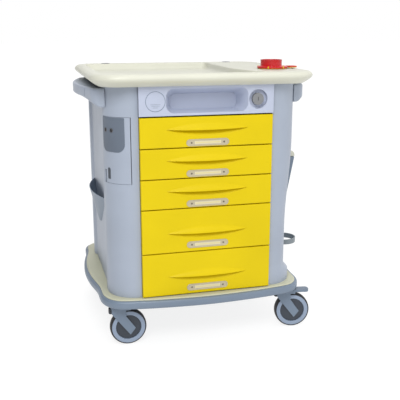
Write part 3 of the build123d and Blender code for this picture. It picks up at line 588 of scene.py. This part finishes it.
def cut_window(faces, heights, corner, rows, columns):
    """Drop the quads of both walls inside the hatch opening and close its four edges."""
    low = int(np.argmin(abs(heights - HATCH_Z[0])))
    high = int(np.argmin(abs(heights - HATCH_Z[1])))
    first = 1 + int(np.argmin(abs(corner - HATCH_DEG[0])))
    last = 1 + int(np.argmin(abs(corner - HATCH_DEG[1])))
    row = faces[:, 0] // columns
    column = faces[:, 0] % columns
    in_columns = (column >= first) & (column < last)
    outside = (row >= low) & (row < high)
    inside = (row >= rows - 1 - high) & (row < rows - 1 - low)
    kept = faces[~(in_columns & (outside | inside))]

    def at(level, col, outer):
        return (level if outer else rows - 1 - level) * columns + col

    path = [(low, c) for c in range(first, last)] + [(r, last) for r in range(low, high)]
    path += [(high, c) for c in range(last, first, -1)] + [(r, first) for r in range(high, low, -1)]
    rim = [
        [at(*path[k], True), at(*path[k - 1], True), at(*path[k - 1], False), at(*path[k], False)]
        for k in range(len(path))
    ]
    return kept.tolist() + rim


side_shell(-1)
side_shell(1)
print("side shells made; right waist is", round(float(waist(np.array(0.32))) * 1000), "mm from the middle")

# %% [markdown]
# ## Worktop
# The worktop is a thermoformed tray with a fat rolled rim, shaped like a boat's hull: it starts well
# inside at the bottom, swells to its widest two thirds of the way up and rolls over the top. Inside
# the rim the work surface is sunk, but a raised platform runs along the right side, and its edge
# sweeps forward and right. The outer loop and the recess loop are matched point by point, so the
# same sheet of points carries on from the rim over the flat and down into the recess.

# %% Worktop surface
worktop_low, worktop_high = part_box("worktop")
RIM_Z = worktop_high.z
SURFACE_Z = 0.892
worktop_mid_y = (worktop_low.y + worktop_high.y) / 2
RECESS_CORNERS = (
    (0.160, 0.280), (-0.330, 0.280), (-0.330, -0.322), (0.262, -0.322), (0.215, -0.300), (0.168, -0.245),
    (0.142, -0.120), (0.146, 0.100),
)


WORKTOP_CORNER = 0.092
RECESS_SOFTENING = 0.055
EYE = np.array([0.05, -0.20])  # both outlines are star-shaped as seen from here
HULL = (
    (0.034, worktop_low.z), (0.030, 0.8765), (0.021, 0.8815), (0.011, 0.888), (0.0035, 0.8945),
    (0.0006, 0.899), (0.0, 0.902), (0.0012, 0.9065), (0.0045, 0.9105), (0.009, 0.9135),
    (0.014, 0.9153), (0.020, RIM_Z), (0.026, RIM_Z), (0.030, RIM_Z - 0.0006),
)
RECESS_LIP = (
    (-0.002, 0.0007), (0.0, 0.0009), (0.0015, 0.0018), (0.003, 0.0045), (0.006, 0.012), (0.010, 0.0185),
    (0.016, 0.0228), (0.024, 0.024),
)


def rounded_loop(corners, count, reach):
    """Closed outline through corners, rounded by averaging along it with a smooth window of reach."""
    loop = resampled(np.array(corners), count)
    spacing = np.linalg.norm(loop[1] - loop[0])
    half = int(reach / spacing)
    window = np.hanning(2 * half + 3)[1:-1]
    window /= window.sum()
    padded = np.vstack([loop[-half:], loop, loop[:half]])
    return np.stack([np.convolve(padded[:, k], window, "valid") for k in range(2)], -1)


def at_angles(loop, centre, angles):
    """Points of a star-shaped loop in the directions angles, seen from centre."""
    arm = loop - centre
    angle = np.arctan2(arm[:, 1], arm[:, 0])
    length = np.interp(angles, angle, np.hypot(arm[:, 0], arm[:, 1]), period=2 * np.pi)
    return centre + length[:, None] * np.stack([np.cos(angles), np.sin(angles)], -1)


def worktop():
    """Rim profile carried round the outline, then across the flat and down into the recess.

    HULL holds (inset, height) of the rim; RECESS_LIP holds (inset, drop) of the edge of the recess.
    """
    half_x = (worktop_high.x - worktop_low.x) / 2
    half_y = (worktop_high.y - worktop_low.y) / 2
    outline = resampled(rounded_rectangle(half_x, half_y, WORKTOP_CORNER), 360) + [0, worktop_mid_y]
    recess = rounded_loop(RECESS_CORNERS, 360, RECESS_SOFTENING)
    angles = np.sort(np.concatenate([np.arctan2(*(loop - EYE).T[::-1]) for loop in (outline, recess)]))
    count = len(angles)

    def level(loop, z):
        return np.column_stack([at_angles(loop, EYE, angles), np.full(count, z)])

    loops = [level(inset_loop(outline, inset), z) for inset, z in HULL]
    loops += [level(inset_loop(recess, inset), RIM_Z - drop) for inset, drop in RECESS_LIP]
    floor_middle = np.array([*EYE, SURFACE_Z])
    loops += [floor_middle + (loops[-1] - floor_middle) * share for share in (0.7, 0.4, 0.1)]
    return loops_piece(
        "worktop_moulding", np.array(loops), "worktop", "chassis", ("worktop",), crease=50
    )


def drill(obj, centre, radius, low=0.80, high=0.95):
    """Cut a round hole through a piece with an exact Boolean and keep the result in its mesh."""
    ring = circle(radius, 72) + centre
    loops = np.array([np.column_stack([ring, np.full(72, z)]) for z in (low, high)])
    mesh = bpy.data.meshes.new("cutter")
    faces = grid_faces(2, 72, wrap_columns=True).tolist() + [list(range(72)), list(range(72, 144))]
    mesh.from_pydata(loops.reshape(-1, 3).tolist(), [], faces)
    tidy_mesh(mesh, 40)
    cutter = bpy.data.objects.new("cutter", mesh)
    scene.collection.objects.link(cutter)
    cut = obj.modifiers.new("hole", "BOOLEAN")
    cut.operation = "DIFFERENCE"
    cut.solver = "EXACT"
    cut.object = cutter
    bpy.context.view_layer.update()
    result = bpy.data.meshes.new_from_object(obj.evaluated_get(bpy.context.evaluated_depsgraph_get()))
    obj.modifiers.clear()
    obj.data = result
    bpy.data.objects.remove(cutter)


top = worktop()
collar_low, collar_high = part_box("sharps_collar")
sharps_x = (collar_low.x + collar_high.x) / 2
sharps_y = (collar_low.y + collar_high.y) / 2
drill(top, (sharps_x, sharps_y), (collar_high.x - collar_low.x) / 2 + 0.0002)
socket_low, socket_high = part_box("worktop_sockets")
socket_y = (socket_low.y + socket_high.y) / 2
SOCKET_R = 0.017
for socket_x in (socket_low.x + SOCKET_R, socket_high.x - SOCKET_R):
    drill(top, (socket_x, socket_y), SOCKET_R + 0.0002)
top.data.set_sharp_from_angle(angle=radians(40))
print("worktop made:", len(top.data.polygons), "faces")

# %% [markdown]
# ## Base deck and bumper
# The base is a flat cream deck inside a blue-grey rubbery bumper. Its outline has soft corners and a
# bulge on each side. The outline is a smooth closed curve through a few named points, and both
# pieces are that curve repeated at different insets and heights.

# %% Base outline
base_low, base_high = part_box("base_bumper")
BASE_RIGHT_SIDE = np.array([
    (0.125, -0.348), (0.232, -0.336), (0.312, -0.316), (0.350, -0.262), (0.357, -0.165), (0.373, -0.070),
    (0.380, 0.030), (0.373, 0.130), (0.357, 0.225), (0.350, 0.300), (0.312, 0.342), (0.232, 0.354),
    (0.125, 0.359),
])


def closed_curve(knots, count):
    """Smooth closed curve through the knots: cubics whose slope at a knot comes from its neighbours."""
    chord = np.linalg.norm(np.roll(knots, -1, 0) - knots, axis=1) ** 0.5
    when = np.append(0, np.cumsum(chord))
    slope = (np.roll(knots, -1, 0) - np.roll(knots, 1, 0)) / (chord + np.roll(chord, 1))[:, None]
    s = np.linspace(0, when[-1], count, endpoint=False)
    k = np.clip(np.searchsorted(when, s, side="right") - 1, 0, len(knots) - 1)
    n = (k + 1) % len(knots)
    t = ((s - when[k]) / chord[k])[:, None]
    h = chord[k][:, None]
    return (
        (2 * t**3 - 3 * t**2 + 1) * knots[k]
        + (t**3 - 2 * t**2 + t) * h * slope[k]
        + (3 * t**2 - 2 * t**3) * knots[n]
        + (t**3 - t**2) * h * slope[n]
    )


base_knots = np.vstack([
    [(0, -0.354)], BASE_RIGHT_SIDE, [(0, 0.360)], BASE_RIGHT_SIDE[::-1] * [-1, 1],
])
base_loop = resampled(closed_curve(base_knots, 900), 360)


def contour_piece(name, contour, look, body, replaced, closed=False):
    """The base outline at each (inset, height) of contour."""
    loops = [np.column_stack([inset_loop(base_loop, i), np.full(len(base_loop), z)]) for i, z in contour]
    return loops_piece(name, np.array(loops), look, body, replaced, closed, crease=45)


bumper_contour = (
    (0.018, 0.148), (0.009, 0.148), (0.0045, 0.1492), (0.0015, 0.1525), (0.0002, 0.157), (0.0, 0.164),
    (0.0006, 0.170), (0.0025, 0.174), (0.006, 0.1758), (0.010, 0.1762), (0.018, 0.1740),
)
contour_piece(
    "bumper_ring", bumper_contour, "bumper", "chassis", ("base_bumper",), closed=True
)
deck_contour = (
    (0.018, 0.1742), (0.0108, 0.1748), (0.0098, 0.1772), (0.0115, 0.1792), (0.0145, 0.180), (0.020, 0.180),
    (0.026, 0.1798),
)
contour_piece("deck_moulding", deck_contour, "deck", "chassis", ("base_deck",))
print("base made", "within", list(base_low), list(base_high))

# %% [markdown]
# ## Push handles
# Each handle is a hollow bow that stands off the side of the cart, closed on top and open below for
# the fingers. Its plan is a shallow arc that dives back into the column at each end. The wall
# profile goes up the outside, over the top and down the inside of the grip, and its lower edge sweeps
# up as the bow leaves the side of the cart.

# %% Push handles
HANDLE_WIDEST = 0.3935
HANDLE_SHOULDER = 0.362
HANDLE_BEND = 0.214
HANDLE_HALF = 0.252
HANDLE_ROOT = 0.318
HANDLE_SWEEP = 0.45  # share of the grip's height that the lower edge rises
SWEEP_START = 0.328
SWEEP_REACH = 0.055
SEAM_Y = -0.176


def arc_x(y):
    """Distance of the arc from the middle of the cart: widest at y = 0, a parabola."""
    return HANDLE_SHOULDER + (HANDLE_WIDEST - HANDLE_SHOULDER) * (1 - (y / HANDLE_BEND) ** 2)


def bow(outset, reach):
    """Plan curve of the right handle: a flat arc between two quarter-round shoulders.

    The curve is moved outwards by outset along its normal; reach 1 keeps it there and reach 0 lays
    it on the side of the cart.
    """
    turn = np.linspace(0, np.pi / 2, 12)
    shoulder = np.stack([
        HANDLE_ROOT + (HANDLE_SHOULDER - HANDLE_ROOT) * np.cos(turn),
        HANDLE_BEND + (HANDLE_HALF - HANDLE_BEND) * np.sin(turn),
    ], -1)
    y = np.linspace(-HANDLE_BEND, HANDLE_BEND, 48)[1:-1]
    arc = np.stack([arc_x(y), y], -1)
    spine = np.vstack([shoulder[::-1] * [1, -1], arc, shoulder])
    along = np.gradient(spine, axis=0)
    along /= np.linalg.norm(along, axis=1, keepdims=True)
    moved = spine + np.stack([along[:, 1], -along[:, 0]], -1) * outset
    x = HANDLE_ROOT + np.maximum(moved[:, 0] - HANDLE_ROOT, 0) * reach
    return np.stack([x, moved[:, 1]], -1)


def push_handle(way, side):
    """The bow at each step of a profile: up the outside, in over the shelf, and down the grip."""
    low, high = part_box(f"{way}_push_handle")
    profile = (
        (0.0, 1, low.z + 0.005), (0.0, 1, high.z - 0.010), (-0.0008, 1, high.z - 0.005),
        (-0.003, 1, high.z - 0.0016), (-0.006, 1, high.z), (-0.012, 1, high.z), (-0.014, 1, high.z - 0.001),
        (-0.014, 0, high.z - 0.001), (-0.014, 0, high.z - 0.008), (-0.0135, 1, high.z - 0.008),
        (-0.0122, 1, high.z - 0.012), (-0.0115, 1, low.z + 0.006), (-0.0105, 1, low.z + 0.0015),
        (-0.007, 1, low.z), (-0.003, 1, low.z + 0.0008),
    )
    rows = [np.column_stack([bow(outset, reach), np.full(70, z)]) for outset, reach, z in profile]
    sheet = np.array(rows).transpose(1, 0, 2)
    raised = HANDLE_SWEEP * smoothstep((sheet[..., 0] - SWEEP_START) / SWEEP_REACH)
    sheet[..., 2] = high.z - (high.z - sheet[..., 2]) * (1 - raised)
    sheet = sheet * [side, 1, 1]
    loops_piece(f"{way}_handle_grip", sheet, "shell", "chassis", (f"{way}_push_handle",))
    seam = rounded_rectangle(0.0006, 0.0004, 0.0002, 4) + [side * arc_x(SEAM_Y), SEAM_Y]
    line = np.array([np.column_stack([seam, np.full(16, z)]) for z in (high.z - 0.030, high.z - 0.006)])
    loops_piece(f"{way}_handle_seam", line, "slate", "chassis")


push_handle("left", -1)
push_handle("right", 1)
print("push handles made: 2")

# %% [markdown]
# ## Wheels
# A tyre and a wheel are solids of revolution: a profile of (radius, offset along the axle) turned
# about the axle. Each caster stands at its own angle, so the profile is turned about the axle
# direction that the frame gives for that wheel. Only half of each profile is written down; the other
# half mirrors it.

# %% Wheels
CASTERS = ("front_left", "front_right", "rear_left", "rear_right")
joint_by_name = {joint["name"]: joint for joint in frame["joints"]}


def revolved(profile, centre, axis, count=96):
    """Turn (radius, along-axle) rows about an axis through centre; every row is one circle."""
    axis = np.array(axis, float) / np.linalg.norm(axis)
    ahead = np.cross([0.0, 0.0, 1.0], axis)
    up = np.cross(axis, ahead)
    turn = np.linspace(0, 2 * np.pi, count, endpoint=False)
    ring = np.cos(turn)[:, None] * ahead + np.sin(turn)[:, None] * up
    return np.array([np.array(centre) + r * ring + a * axis for r, a in profile])


TYRE = (
    (0.0568, 0.0), (0.0568, 0.0140), (0.0590, 0.0148), (0.0606, 0.0132), (0.0618, 0.0100), (0.0624, 0.0055),
    (0.0625, 0.0),
)
RIM = (
    (0.0572, 0.0), (0.0572, 0.0136), (0.0560, 0.0142), (0.0450, 0.0146), (0.0436, 0.0138), (0.0430, 0.0112),
    (0.0424, 0.0),
)
DISC = (
    (0.0426, 0.0), (0.0426, 0.0108), (0.0400, 0.0112), (0.0180, 0.0124), (0.0120, 0.0146), (0.0102, 0.0148),
    (0.0052, 0.0148), (0.0051, 0.0),
)
for caster in CASTERS:
    spin = joint_by_name[f"{caster}_spin"]
    roller = f"{caster}_roller"
    for part, half, look, slot, hidden in (
        ("tread", TYRE, "tyre", "tyre_black", (f"{caster}_tyre",)),
        ("rim", RIM, "rim", "caster_grey", ()),
        ("disc", DISC, "disc", "caster_grey", (f"{caster}_wheel",)),
    ):
        mirrored = [(r, a) for r, a in half] + [(r, -a) for r, a in half[-2:0:-1]]
        rings = revolved(mirrored, spin["pos_m"], spin["axis"])
        loops_piece(f"{caster}_{part}", rings, look, roller, hidden, closed=True, crease=30)
print("wheels made: 4, each with a tread, a rim and a disc")

# %% [markdown]
# ## Swivel locks
# Each caster has a small black lever on the side away from its wheel that locks the swivel. It is a
# rounded block, so it is one rounded outline repeated at a few heights.

# %% Swivel lock levers
LEVER_LEVELS = ((0.010, 0.114), (0.0125, 0.116), (0.0125, 0.130), (0.0115, 0.133), (0.008, 0.134))
LEVER_HALF_WIDTH = 0.009
LEVER_BEHIND = 0.020  # from the swivel axis to the middle of the lever
for caster in CASTERS:
    swivel = np.array(joint_by_name[f"{caster}_swivel"]["pos_m"][:2])
    trail = np.array(joint_by_name[f"{caster}_spin"]["pos_m"][:2]) - swivel
    trail /= np.linalg.norm(trail)
    turn = np.array([trail, [-trail[1], trail[0]]])
    loops = []
    for reach, z in LEVER_LEVELS:
        plan = (rounded_rectangle(reach, LEVER_HALF_WIDTH, 0.004, 5) - [LEVER_BEHIND, 0]) @ turn + swivel
        loops.append(np.column_stack([plan, np.full(20, z)]))
    loops_piece(f"{caster}_lock_lever", np.array(loops), "dark", f"{caster}_caster")
print("swivel lock levers made: 4")

# %% [markdown]
# ## Lock plate on the hatch
# The hatch in the left column carries a dark slate plate with two key locks, and a small finger slot
# lower down, drawn as a thin dark sheet of painted shade that stands in for the shadow inside the slot.
# The plate bends round the column, and its lower corners are much rounder than its upper ones. Its
# width is therefore a function of height, and every point is laid on the column's own cylinder. Each
# lock is a turned ring with a black keyhole disc in it.

# %% Lock plate
COLUMN_X, COLUMN_Y, COLUMN_R = -0.230, -0.212, 0.094
plate_low, plate_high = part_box("hatch_lock_plate")
PLATE_DEG = (22, 79)
PLATE_THICKNESS = 0.0016


def on_column(degrees, z, radius):
    """A point on the left column: 0 degrees faces -Y and 90 faces -X."""
    a = np.radians(degrees)
    x = COLUMN_X - radius * np.sin(a)
    y = COLUMN_Y - radius * np.cos(a)
    return np.stack(np.broadcast_arrays(x, y, z), -1)


def column_plate(name, look, degrees, heights, radii, thickness, replaced=()):
    """Plate on the column between two angles and two heights, with lower and upper corner radii.

    The half width is full, less a quarter circle near each end, and the face rolls off at its edge.
    """
    low_z, high_z = heights
    bottom_radius, top_radius = radii
    half = np.radians((degrees[1] - degrees[0]) / 2) * COLUMN_R
    near_low = bottom_radius * (1 - np.cos(np.linspace(0, np.pi / 2, 10)))
    near_high = top_radius * (1 - np.cos(np.linspace(0, np.pi / 2, 7)))
    middle = np.linspace(low_z + bottom_radius, high_z - top_radius, 10)[1:-1]
    z = np.concatenate([low_z + near_low, middle, high_z - near_high[::-1]])[:, None]
    below = np.clip(bottom_radius - (z - low_z), 0, bottom_radius)
    above = np.clip(top_radius - (high_z - z), 0, top_radius)
    width = half - (bottom_radius - np.sqrt(bottom_radius**2 - below**2))
    width = width - (top_radius - np.sqrt(top_radius**2 - above**2))
    share = np.sin(np.linspace(-np.pi / 2, np.pi / 2, 40))[None, :]
    across = share * width
    edge = np.minimum(np.minimum(width - abs(across), z - low_z), high_z - z)
    roll = rolled_off(edge, 0.7 * thickness)
    around = sum(degrees) / 2 + np.degrees(across / COLUMN_R)
    z = np.repeat(z, across.shape[1], 1)
    front = on_column(around, z, COLUMN_R + thickness - roll)
    slab_piece(
        name, front, on_column(around, z, COLUMN_R + 0.0001), look, "hatch", replaced,
    )


plate_heights = (plate_low.z, plate_high.z)
column_plate(
    "lock_plate_moulding", "slate", PLATE_DEG, plate_heights, (0.026, 0.004), PLATE_THICKNESS,
    ("hatch_lock_plate",),
)
# The finger slot is not cut as a hollow: it is a thin dark sheet on the column, and its colour is painted
# shade where the slot's shadow would fall.
column_plate("hatch_slot_painted_shade", "edge", (56, 64), (0.580, 0.617), (0.002, 0.006), 0.0005)

LOCK_RING = (
    (0.0053, -0.0005), (0.0053, 0.0008), (0.0058, 0.0012), (0.0066, 0.0010), (0.0071, 0.0002),
    (0.0071, -0.0005),
)
KEYHOLE = ((0.0051, -0.0002), (0.0051, 0.0006), (0.0046, 0.0009))
for lock in ("outer_lock", "inner_lock"):
    turn = joint_by_name[f"{lock}_turn"]
    outward = np.array(turn["axis"], float) / np.linalg.norm(turn["axis"])
    middle = np.array([COLUMN_X, COLUMN_Y, turn["pos_m"][2]]) + outward * (COLUMN_R + PLATE_THICKNESS)
    ring = revolved(LOCK_RING, middle, outward, 40)
    loops_piece(f"{lock}_ring", ring, "chrome", "hatch", closed=True, crease=60)
    loops_piece(f"{lock}_keyhole", revolved(KEYHOLE, middle, outward, 40), "tyre", lock)
print("lock plate made with two locks and a slot")

# %% [markdown]
# ## Cap in the fascia
# Where the second lock could go, the fascia has a blank cap. Three short raised bars on it tell the
# hand which way up it sits. A thin darker ring in the gap round the cap draws its outline: its colour is
# painted shade, standing in for the shadow in the groove.

# %% Cap bars
CAP_BARS = ((0.016, 0.009), (0.013, 0.014), (0.008, 0.019))
BAR_PROFILE = ((0.0, 0.0009, 0.0004), (0.0, 0.0009, -0.0004), (0.0004, 0.0005, -0.0007))
CAP_SEAM = ((0.0010, 0.0002), (0.0010, -0.0002), (-0.0004, -0.0002), (-0.0004, 0.0002))
cap_low, cap_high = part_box("fascia_blank_cap")
cap_x, cap_z = (cap_low.x + cap_high.x) / 2, (cap_low.z + cap_high.z) / 2
for k, (half, drop) in enumerate(CAP_BARS):
    loops = [
        facing(rounded_rectangle(half - i, height, 0.0004, 4), cap_x, cap_low.y + depth, cap_z - drop)
        for i, height, depth in BAR_PROFILE
    ]
    loops_piece(f"cap_bar_{k + 1}", np.array(loops), "shell", "chassis")
# The ring's darker blue-grey is painted shade for the groove round the cap, not a colour of the cap or the
# fascia.
seat = (cap_high.x - cap_low.x) / 2
loops = [facing(circle(seat + grow, 72), cap_x, cap_low.y + depth, cap_z) for grow, depth in CAP_SEAM]
loops_piece("cap_groove_painted_shade", np.array(loops), "caster", "chassis", closed=True)
print("cap bars made: 3, and the cap's outline")

# %% [markdown]
# ## Sharps container lid
# The lid is a red disc with a round port standing on it. It is turned from one profile, like the
# wheels. Small yellow catches sit round its edge, and the closing flap is a red tongue with a yellow
# layer under it.

# %% Sharps lid
LID = (
    (0.0335, 0.0), (0.0515, 0.0), (0.0520, 0.001), (0.0520, 0.0048), (0.0510, 0.0062), (0.0490, 0.0070),
    (0.0385, 0.0076), (0.0366, 0.0090), (0.0362, 0.0150), (0.0366, 0.0262), (0.0372, 0.0276),
    (0.0366, 0.0285), (0.0340, 0.0285), (0.0335, 0.0270),
)
PORT_SHIFT = 0.004  # the port stands this far to the left of the disc's middle
CATCH_DEGREES = (235, 295, 20, 140)
CATCH_RADIUS = 0.0508
lid_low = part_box("sharps_lid")[0]
loops = []
for r, rise in LID:
    middle = [sharps_x - PORT_SHIFT * smoothstep((0.046 - r) / 0.006), sharps_y]
    loops.append(np.column_stack([circle(r, 96) + middle, np.full(96, lid_low.z + rise)]))
loops_piece("sharps_lid_disc", np.array(loops), "red", "sharps", ("sharps_lid",), closed=True)

catch = rounded_rectangle(0.0035, 0.0022, 0.001, 4)
for k, degrees in enumerate(CATCH_DEGREES):
    a = radians(degrees)
    spun = catch @ np.array([[np.cos(a), np.sin(a)], [-np.sin(a), np.cos(a)]])
    spot = [sharps_x + CATCH_RADIUS * np.cos(a), sharps_y + CATCH_RADIUS * np.sin(a)]
    loops = [np.column_stack([spun + spot, np.full(16, lid_low.z + z)]) for z in (0.0012, 0.0072)]
    loops_piece(f"sharps_catch_{k + 1}", np.array(loops), "sharps", "sharps")

TONGUE = ((0.0008, 0.0022), (0.0, 0.003), (0.0, 0.0048), (0.0012, 0.006))
LINER = ((0.0012, 0.0), (0.0, 0.0006), (0.0, 0.0018), (0.0006, 0.0022))
flap_low, flap_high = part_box("sharps_flap")
flap_x, flap_y = (flap_low.x + flap_high.x) / 2, (flap_low.y + flap_high.y) / 2
flap_half_x, flap_half_y = (flap_high.x - flap_low.x) / 2, (flap_high.y - flap_low.y) / 2
outline = rounded_rectangle(flap_half_x, flap_half_y, 0.012, 12) + [flap_x, flap_y]
for name, look, slot, hidden, levels in (
    ("sharps_tongue", "red", "sharps_red", ("sharps_flap",), TONGUE),
    ("sharps_tongue_liner", "sharps", "sharps_yellow", (), LINER),
):
    loops = [np.column_stack([inset_loop(outline, i), np.full(48, flap_low.z + z)]) for i, z in levels]
    loops_piece(name, np.array(loops), look, "sharps_closure", hidden)
print("sharps lid made with 4 catches and a two-layer flap")

# %% [markdown]
# ## Everything else
# The remaining pieces are plain plastic or metal parts whose shape already comes from the frame.
# They get merged, softly bevelled copies: a bevel catches a highlight along every edge, which is
# what makes a moulded or machined part look real.

# %% Softened pieces
SOFTENED = (
    ("front_fascia", "fascia", "chassis", "fascia_grey", 1.5),
    ("fascia_blank_cap", "fascia", "chassis", "fascia_grey", 1.5),
    ("back_panel", "back", "chassis", "back_grey", 1.0),
    ("worktop_sockets", "dark", "chassis", "socket_dark", 0.6),
    ("sharps_collar", "sharps", "chassis", "sharps_yellow", 0.5),
    ("left_pocket", "bumper", "chassis", "bumper_grey", 0.8),
    ("side_bin", "bumper", "chassis", "bumper_grey", 1.0),
    ("bin_hangers", "paint", "chassis", "frame_steel", 0.6),
    ("cylinder_hoop", "hoop", "chassis", "hoop_grey", 1.0),
    ("base_frame", "paint", "chassis", "frame_steel", 0.8),
    ("base_pan", "paint", "chassis", "frame_steel", 0.5),
    ("caster_stems", "steel", "chassis", "zinc_steel", 0.4),
    ("cabinet_runners", "white", "chassis", "runner_white", 0.3),
    ("column_hatch", "shell", "hatch", "shell_blue_grey", 0.8),
    ("outer_lock_barrel", "dark", "outer_lock", "lock_metal", 0.3),
    ("inner_lock_barrel", "dark", "inner_lock", "lock_metal", 0.3),
    ("lock_knob", "knob", "knob", "knob_grey", 1.0),
    ("sharps_container", "sharps", "sharps", "sharps_yellow", 0.5),
    ("bin_lid", "worktop", "bin_cover", "worktop_cream", 2.0),
)
for node, look, body, slot, radius in SOFTENED:
    softened(node, look, body, radius)
for number in range(1, 6):
    softened(f"drawer_tray_{number}", "tray", f"drawer_{number}", 0.8)
for caster in CASTERS:
    softened(f"{caster}_fork", "caster", f"{caster}_caster", 1.5)
    softened(f"{caster}_pedal", "caster", f"{caster}_brake", 2.0)
print("softened pieces made:", len(SOFTENED) + 5 + 8)

# %% [markdown]
# ## Floor
# The floor is a translucent white table that glows from below, which keeps the shadow under the cart
# soft and pale. It is one large flat square, so it needs no modelling beyond its four corners.

# %% Floor
FLOOR_HALF = 40
floor_mesh = bpy.data.meshes.new("floor")
floor_corners = [(x * FLOOR_HALF, y * FLOOR_HALF, 0) for x, y in ((-1, -1), (1, -1), (1, 1), (-1, 1))]
floor_mesh.from_pydata(floor_corners, [], [(0, 1, 2, 3)])
floor = bpy.data.objects.new("floor", floor_mesh)
floor_mesh.materials.append(
    finish(
        "studio_floor", (0.24, 0.24, 0.24), 0.9, drift=0.003, bump=0.0,
        Emission_Color=(1, 1, 1, 1), Emission_Strength=0.82, Specular_IOR_Level=0.1,
    )
)
scene.collection.objects.link(floor)
print("floor made, half size in metres:", FLOOR_HALF)
